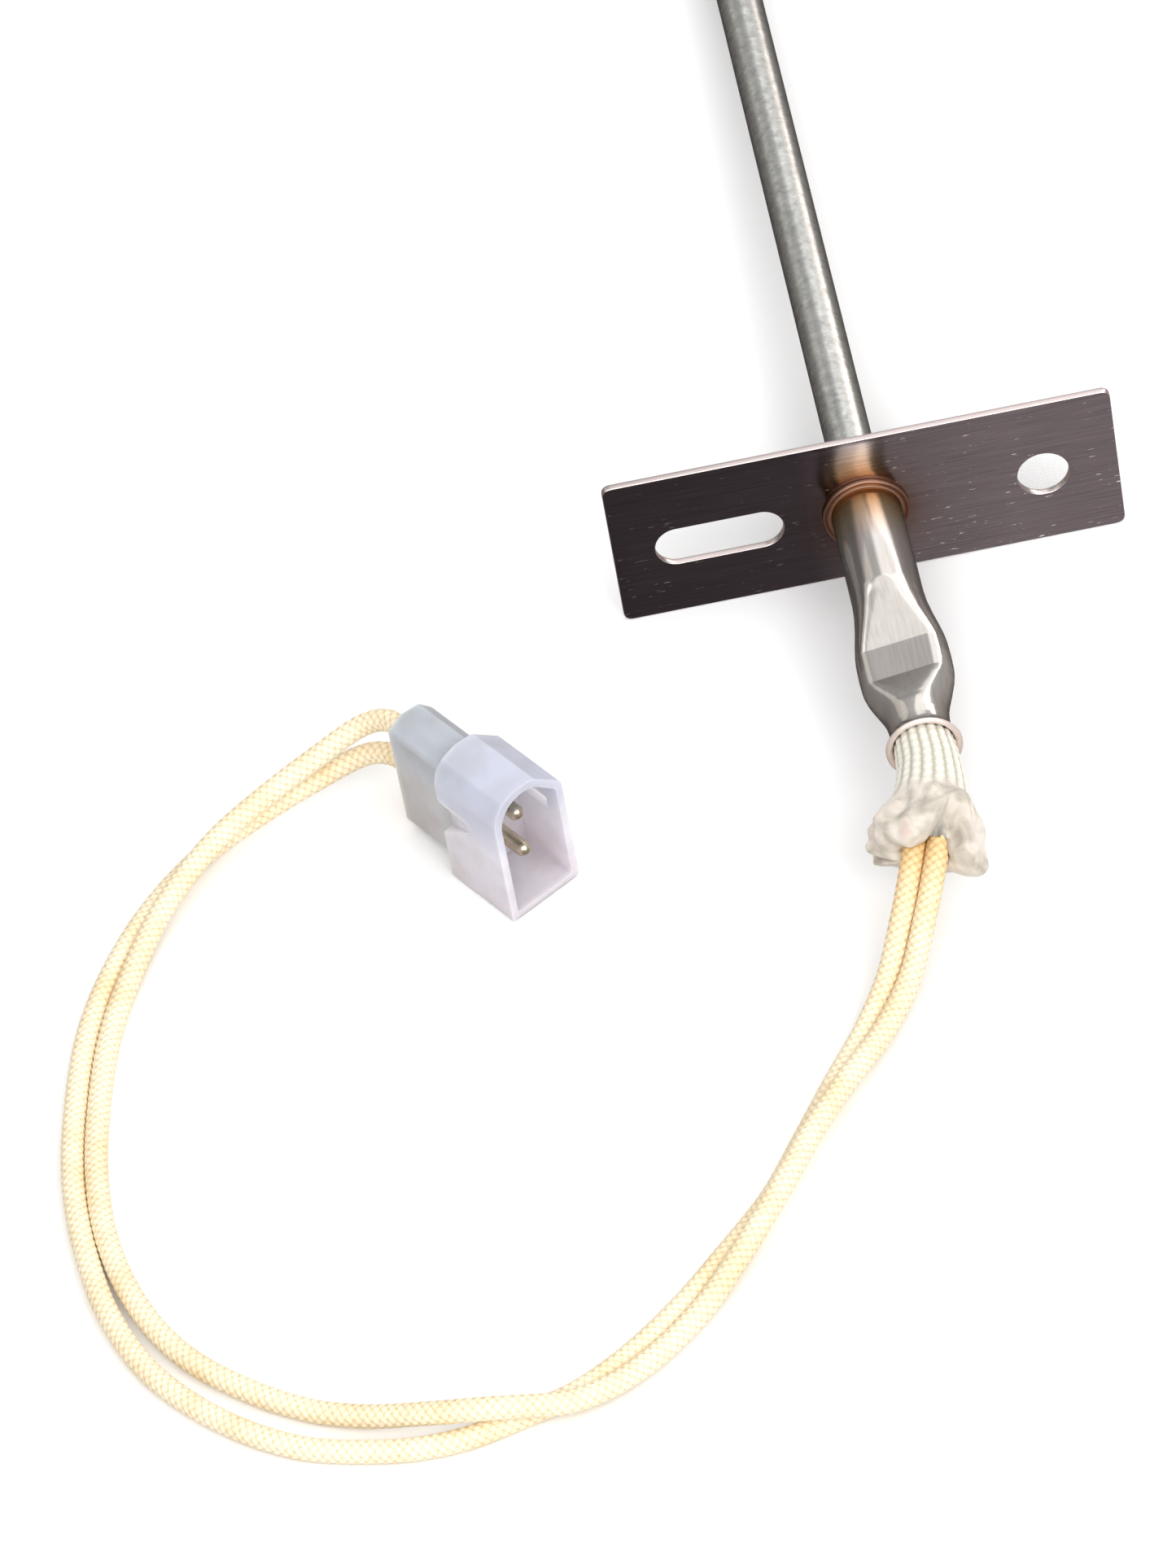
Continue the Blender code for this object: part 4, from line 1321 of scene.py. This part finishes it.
        for back, side, crown in self.inside:
            add(pressed(back, side, crown), back - self.mouth, 0.6)
        count = round(self.length / self.pitch)
        for i in range(1, count + 1):
            loose(i / count)
        for i, (shrink, push) in enumerate(self.folds):
            loose(1.0, i / (len(self.folds) - 1), shrink, push)
        for i in range(self.lining_rings):
            share = i / (self.lining_rings - 1)
            back = self.length * (1 - share) - self.lining_gap
            across, height = between(self.lining, share)
            add([self.place(axis, max(back, 0.0) + 0.2, across * cos, height * sin) for _, cos, sin in turns],
                back, 1.0)
        for back, side, crown in reversed(self.inside[:-1]):
            add(pressed(back, side - self.cloth[0], crown - self.cloth[1]), 0.0, 1.0)
        blank = mesh_piece("glass_sleeving", closed_loft(rings), BRAID_FINISH, crease=180.0)
        around = [i / self.sides for i in range(self.sides)] * len(rings)
        for name, values in (("around", around), ("along", along), ("bunch", bunched)):
            blank.data.attributes.new(name, "FLOAT", "POINT").data.foreach_set("value", values)
        keep(self.ribbed(blank), BRAID_FINISH, "glass_sleeve")

    def ribbed(self, blank: Piece) -> Piece:
        """Raise the ribs and their chevrons, fading out where the sleeve is bunched.

        Args:
            blank: the smooth sleeve.

        Returns:
            The ribbed sleeve.
        """
        inputs = self.braid.inputs(BRAID_FINISH)
        tree, given = open_tree("ribbed glass sleeve", inputs)
        around, along, bunch = (
            add_node(tree, READ, {"Name": name}, data_type="FLOAT") for name in ("around", "along", "bunch")
        )
        add = partial(add_node, tree, MATH)
        turns = add({0: around, 1: given["Carriers"]}, operation="MULTIPLY")
        wave = add({0: add({0: turns, 1: TURN}, operation="MULTIPLY")}, operation="COSINE")
        ribs = add({0: add({0: wave}, operation="ABSOLUTE"), 1: self.rib_share}, operation="MULTIPLY")
        chevron = self.braid.crown(tree, around, along, given)
        crown = add({0: chevron, 1: 1.0 - self.rib_share, 2: ribs}, operation="MULTIPLY_ADD")
        plain = add({0: 1.0, 1: bunch}, operation="SUBTRACT")
        amount = add({0: plain, 1: given["Relief"]}, operation="MULTIPLY")
        end = self.braid.raise_surface(tree, given["Geometry"], crown, amount, given["Finish"])
        return run_tree(blank, tree, end, inputs)


# --- the plug --------------------------------------------------------------------------------------------


@dataclass
class Plug:
    """Two-way plug: a keyed shroud, a rear body with two cavities, and two contacts.

    Its own frame has Y from the mating face to the rear, and Z up from the surface. The shoulders hold a height
    and the share of an inset that lowers it.
    """

    front: Point = (-38.3, -87.2, 0.0)
    heading: float = 33.0
    half_width: float = 4.25
    shroud: float = 9.0
    length: float = 17.5
    wall: float = 0.8
    floor: float = 7.0
    mouth_depth: float = 6.7
    contact_height: float = 7.95
    contact_pitch: float = 5.08
    contact_radius: float = 0.8
    nose: float = 1.6
    nose_steps: int = 8
    round_edge: float = 0.16
    nose_length: float = 0.95
    collar: float = 1.3
    collar_edge: float = 0.08
    barrel: float = 0.95
    barrel_bore: float = 0.65
    contact_sides: int = 40
    round_corner: float = 0.55
    shoulders: Outline = ((13.0, 0.4), (13.2, 0.6))
    arch_inset: float = 1.05
    arch: Outline = ((1.0, 16.0), (-1.2, 16.1), (-2.9, 15.5), (-3.9, 14.3))
    body: Outline = ((-2.8, 0.9), (2.8, 0.9), (2.8, 12.4), (1.2, 14.2), (-1.0, 14.4), (-2.8, 13.4))
    window: Outline = ((2.75, 8.7), (5.25, 8.7), (5.25, 10.1), (2.75, 10.1))

    @property
    def matrix(self) -> Matrix:
        """From the plug's own frame to the row frame."""
        return Matrix.Translation(Vector(self.front) * MM) @ Matrix.Rotation(math.radians(self.heading), 4, "Z")

    def height_of(self, side: Side) -> float:
        """How high the cavity of a lead is: lead a below, lead b above."""
        return self.contact_height + side.value * self.contact_pitch / 2

    def keyed(self, inset: float) -> Outline:
        """The shroud's outline, moved in by the inset: flat below, with an off-centre arch above."""
        side = self.half_width - inset
        left, right = (height - inset * share for height, share in self.shoulders)
        points = [(-side, inset), (side, inset), (side, right)]
        points += [(x * side / self.half_width, z - inset * self.arch_inset) for x, z in self.arch]
        return rounded([*points, (-side, left)], self.round_corner)

    def build(self) -> dict[Side, list[Piece]]:
        """Mould the housing and turn the contacts.

        Returns:
            For each lead, the pieces of the plug that it carries.
        """
        carried: dict[Side, list[Piece]] = {Side.A: [self.housing()], Side.B: []}
        for side in Side:
            carried[side].append(self.contact(side))
        return carried

    def housing(self) -> Piece:
        """Join and cut the housing's solids, then round its edges.

        Returns:
            The housing.
        """
        housing = mesh_piece("plug_moulding", prism(self.keyed(0.0), 0.0, self.shroud), NYLON_FINISH)
        solids = [
            prism(rounded(self.body, 0.4), self.shroud - 1.0, self.length),
            prism(self.keyed(self.wall), -1.0, self.mouth_depth),
            prism(rounded(self.window, 0.2), 1.9, 6.4),
            self.ramp(),
        ]
        for side in Side:
            for radius, start, end, sides in ((1.1, -1.0, 2.0, 32), (1.7, 1.2, self.length - self.floor + 1.0, 48)):
                low, high = self.floor + start, self.floor + end
                bore = [(0.0, low), (radius, low), (radius, high), (0.0, high)]
                solids.append(turned(bore, sides, self.height_of(side)))
        tools = []
        for i, shape in enumerate(solids):
            tool = mesh_piece(f"mould_tool_{i}", shape, NYLON_FINISH)
            modifier = housing.modifiers.new(tool.name, "BOOLEAN")
            modifier.operation = "DIFFERENCE" if i else "UNION"
            modifier.solver = "EXACT"
            modifier.object = tool
            tools.append(tool)
        rounding = housing.modifiers.new("rounded edges", "BEVEL")
        rounding.width = self.round_edge * MM
        rounding.segments = 2
        rounding.limit_method = "ANGLE"
        rounding.angle_limit = math.radians(50.0)
        housing = settle(housing)
        for tool in tools:
            bpy.data.objects.remove(tool)
        housing.data.transform(self.matrix)
        housing.data.shade_smooth()
        housing.data.set_sharp_from_angle(angle=math.radians(32.0))
        return keep(housing, NYLON_FINISH, "plug_housing")

    def ramp(self) -> Shape:
        """The wedge of the latch ramp, which deepens from nothing to the rear edge of the shroud."""
        skin, past = -self.half_width, -self.half_width - 1.5
        shape = bmesh.new()
        for xs, y, heights in (((skin, past), 3.9, (9.7, 10.4)), ((skin + 1.25, past), 9.3, (6.3, 10.9))):
            for x in xs:
                for z in heights:
                    shape.verts.new(Vector((x, y, z)) * MM)
        bmesh.ops.convex_hull(shape, input=shape.verts)
        return shape

    def contact(self, side: Side) -> Piece:
        """Turn one contact: a round-nosed pin, its collar, and the crimp barrel behind it.

        Args:
            side: which lead it is on.

        Returns:
            The contact.
        """
        radius, shoulder = self.contact_radius, self.floor + 1.6
        barrel, tail = shoulder + 3.0, self.length - 2.6
        angles = [math.pi / 2 * i / self.nose_steps for i in range(self.nose_steps + 1)]
        profile = [(radius * math.sin(a), self.nose + self.nose_length * (1 - math.cos(a))) for a in angles]
        collar, edge = self.collar, self.collar_edge
        profile += [
            (radius, shoulder), (collar - edge, shoulder), (collar, shoulder + edge),
            (collar, shoulder + 1.4 - edge), (collar - edge, shoulder + 1.4), (self.barrel, shoulder + 1.7),
            (self.barrel, tail), (self.barrel_bore, tail), (self.barrel_bore, barrel), (0.0, barrel),
        ]
        shape = turned(profile, self.contact_sides, self.height_of(side))
        piece = mesh_piece("turned_contact_" + side.label, shape, CONTACT_FINISH, self.matrix)
        return keep(piece, CONTACT_FINISH, "contact_pin_" + side.label)


# --- the hidden pieces and the studio --------------------------------------------------------------------

HIDDEN_FINISHES = {
    "element_chip": ALUMINA_FINISH, "element_glass_drop": GLASS_FINISH, "element_leg": NICKEL_FINISH,
    "leg_crimp": NICKEL_FINISH, "extension_wire": NICKEL_FINISH, "bore_insulator": ALUMINA_FINISH,
    "tail_seal": CEMENT_FINISH, "tip_cement_pad": CEMENT_FINISH, "splice_barrel": NICKEL_FINISH,
    "splice_cover": WRAP_FINISH, "inner_conductor": WRAP_FINISH, "stripped_strands": NICKEL_FINISH,
}


def dress_hidden(nodes: dict[str, Piece]) -> None:
    """Give the nodes inside the tube, the ferrule and the plug, which keep their shapes, their materials."""
    for name, node in nodes.items():
        finish = next((finish for start, finish in HIDDEN_FINISHES.items() if name.startswith(start)), None)
        if finish:
            for slot in node.material_slots:
                slot.material = finish.material()
            LOG.info("%s: %s", name, finish.name)


@dataclass
class Studio:
    """Camera, pale floor and soft light. Distances in metres, angles in degrees, power in watts."""

    camera_place: Point = (-0.03483, -0.62679, 0.56990)
    azimuth: float = 0.27
    elevation: float = 45.83
    roll: float = -11.03
    lens: float = 186.8
    sensor: float = 36.0
    aim: Point = (-0.02, -0.08, 0.0)
    floor_half: float = 6.0
    floor_height: float = -0.00005
    mirrored: Point = (0.0, -0.7, -0.714)
    skies: tuple[Stops, Stops, Stops] = (
        ((0.0, "#a09896"), (0.49, "#a09896"), (0.53, "#a4a2a1"), (0.68, "#a0a0a1"), (0.86, "#cccccc"),
         (1.0, "#d8d8d8")),
        ((0.0, "#bcbcbc"), (0.25, "#dedede"), (0.5, WHITE)),
        ((0.70, WHITE), (0.95, "#eceaee")),
    )
    lights: Sequence[tuple[str, Point, tuple[float, float], float, str]] = (
        ("overhead softbox", (0.05, -0.16, 1.10), (1.7, 1.7), 4.6, WHITE),
        ("front left softbox", (-0.40, -0.90, 0.88), (1.1, 0.9), 8.0, WHITE),
        ("front right softbox", (0.50, -0.80, 0.75), (0.7, 0.7), 7.5, WHITE),
        ("back softbox", (0.25, 0.68, 0.72), (0.62, 0.50), 0.80, WHITE),
        ("back left softbox", (-0.58, 0.70, 0.46), (0.40, 0.45), 0.25, "#fff8ee"),
        ("strip to the left", (-0.45, 0.38, 0.80), (0.08, 0.60), 0.40, WHITE),
        ("strip to the right", (0.55, 0.62, 0.50), (0.12, 0.70), 1.7, "#fff5ef"),
    )

    def camera(self) -> None:
        """Stand the camera in front of the probe, above it and slightly rolled."""
        data = bpy.data.cameras.new("camera")
        data.sensor_fit = "VERTICAL"
        data.sensor_height = self.sensor
        data.lens = self.lens
        look = Matrix.Translation(self.camera_place)
        for angle, axis in ((-self.azimuth, "Z"), (90.0 - self.elevation, "X"), (self.roll, "Z")):
            look @= Matrix.Rotation(math.radians(angle), 4, axis)
        camera = linked("camera", data)
        camera.matrix_world = look
        bpy.context.scene.camera = camera

    def floor(self) -> None:
        """Lay a wide pale floor just under the probe, out of the metal's reflections."""
        shape = bmesh.new()
        bmesh.ops.create_grid(shape, x_segments=1, y_segments=1, size=self.floor_half)
        shape.transform(Matrix.Translation((0.0, 0.0, self.floor_height)))
        mesh = bpy.data.meshes.new("floor")
        shape.to_mesh(mesh)
        shape.free()
        paper = bpy.data.materials.new("matt white paper")
        paper.use_nodes = True
        tree = paper.node_tree
        for name, value in (("Base Color", linear("#f6f6f6")), ("Roughness", 0.9), ("Specular IOR Level", 0.1)):
            feed(tree, tree.nodes["Principled BSDF"].inputs[name], value)
        mesh.materials.append(paper)
        floor = linked("floor", mesh)
        floor.visible_glossy = False
        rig.stage(floor)

    def surround(self) -> None:
        """Shade the world by height, by side, and darker where the flange mirrors it."""
        world = bpy.data.worlds.new("soft surround")
        world.use_nodes = True
        tree = world.node_tree
        add = partial(add_node, tree)
        place = add("ShaderNodeTexCoord", out="Generated")
        ways = (
            add(SEPARATE, {"Vector": place}, "Z"), add(SEPARATE, {"Vector": place}, "X"),
            add(VECTOR_MATH, {0: place, 1: self.mirrored}, 1, operation="DOT_PRODUCT"),
        )
        shades = [
            add(RAMP, {"Fac": add(RANGE, {"Value": way, "From Min": -1.0})}, stops=stops)
            for way, stops in zip(ways, self.skies)
        ]
        feed(tree, tree.nodes["Background"].inputs["Color"], multiplied(add, *shades))
        bpy.context.scene.world = world

    def build(self) -> None:
        """Set the whole studio up."""
        bpy.context.scene.view_settings.view_transform = "Standard"
        self.surround()
        self.camera()
        self.floor()
        for name, place, size, power, colour in self.lights:
            data = bpy.data.lights.new(name, "AREA")
            data.shape = "RECTANGLE"
            data.size, data.size_y = size
            data.energy = power
            data.color = linear(colour)[:3]
            aim = (Vector(self.aim) - Vector(place)).to_track_quat("-Z", "Y").to_matrix().to_4x4()
            linked(name, data).matrix_world = Matrix.Translation(place) @ aim


def main() -> None:
    """Load the frame, build each sub-assembly, and write down the sizes."""
    logging.basicConfig(level=logging.INFO, format="%(message)s")
    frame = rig.load()
    cad_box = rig.bounds()
    Studio().build()
    seat, route = ProbeSeat(), PairRoute()
    braided = BraidedLeads(route)
    leads = {side: braided.braided(side) for side in Side}
    plug = Plug().build()
    for side in Side:
        plug[side].append(frame["nodes"]["stripped_strands_" + side.label])
    braided.declare(leads, plug)
    for sub_assembly in (ProbeTube, MountingFlange, BrazeFillet, CrimpFerrule):
        sub_assembly(seat).build()
    GlassSleeve(seat, route).build()
    dress_hidden(frame["nodes"])
    with open("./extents.json", "w", encoding="utf-8") as file:
        boxes = {"cad": cad_box, "visual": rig.bounds()}
        json.dump({name: [[float(x) for x in corner] for corner in box] for name, box in boxes.items()}, file)


if __name__ == "__main__":
    main()
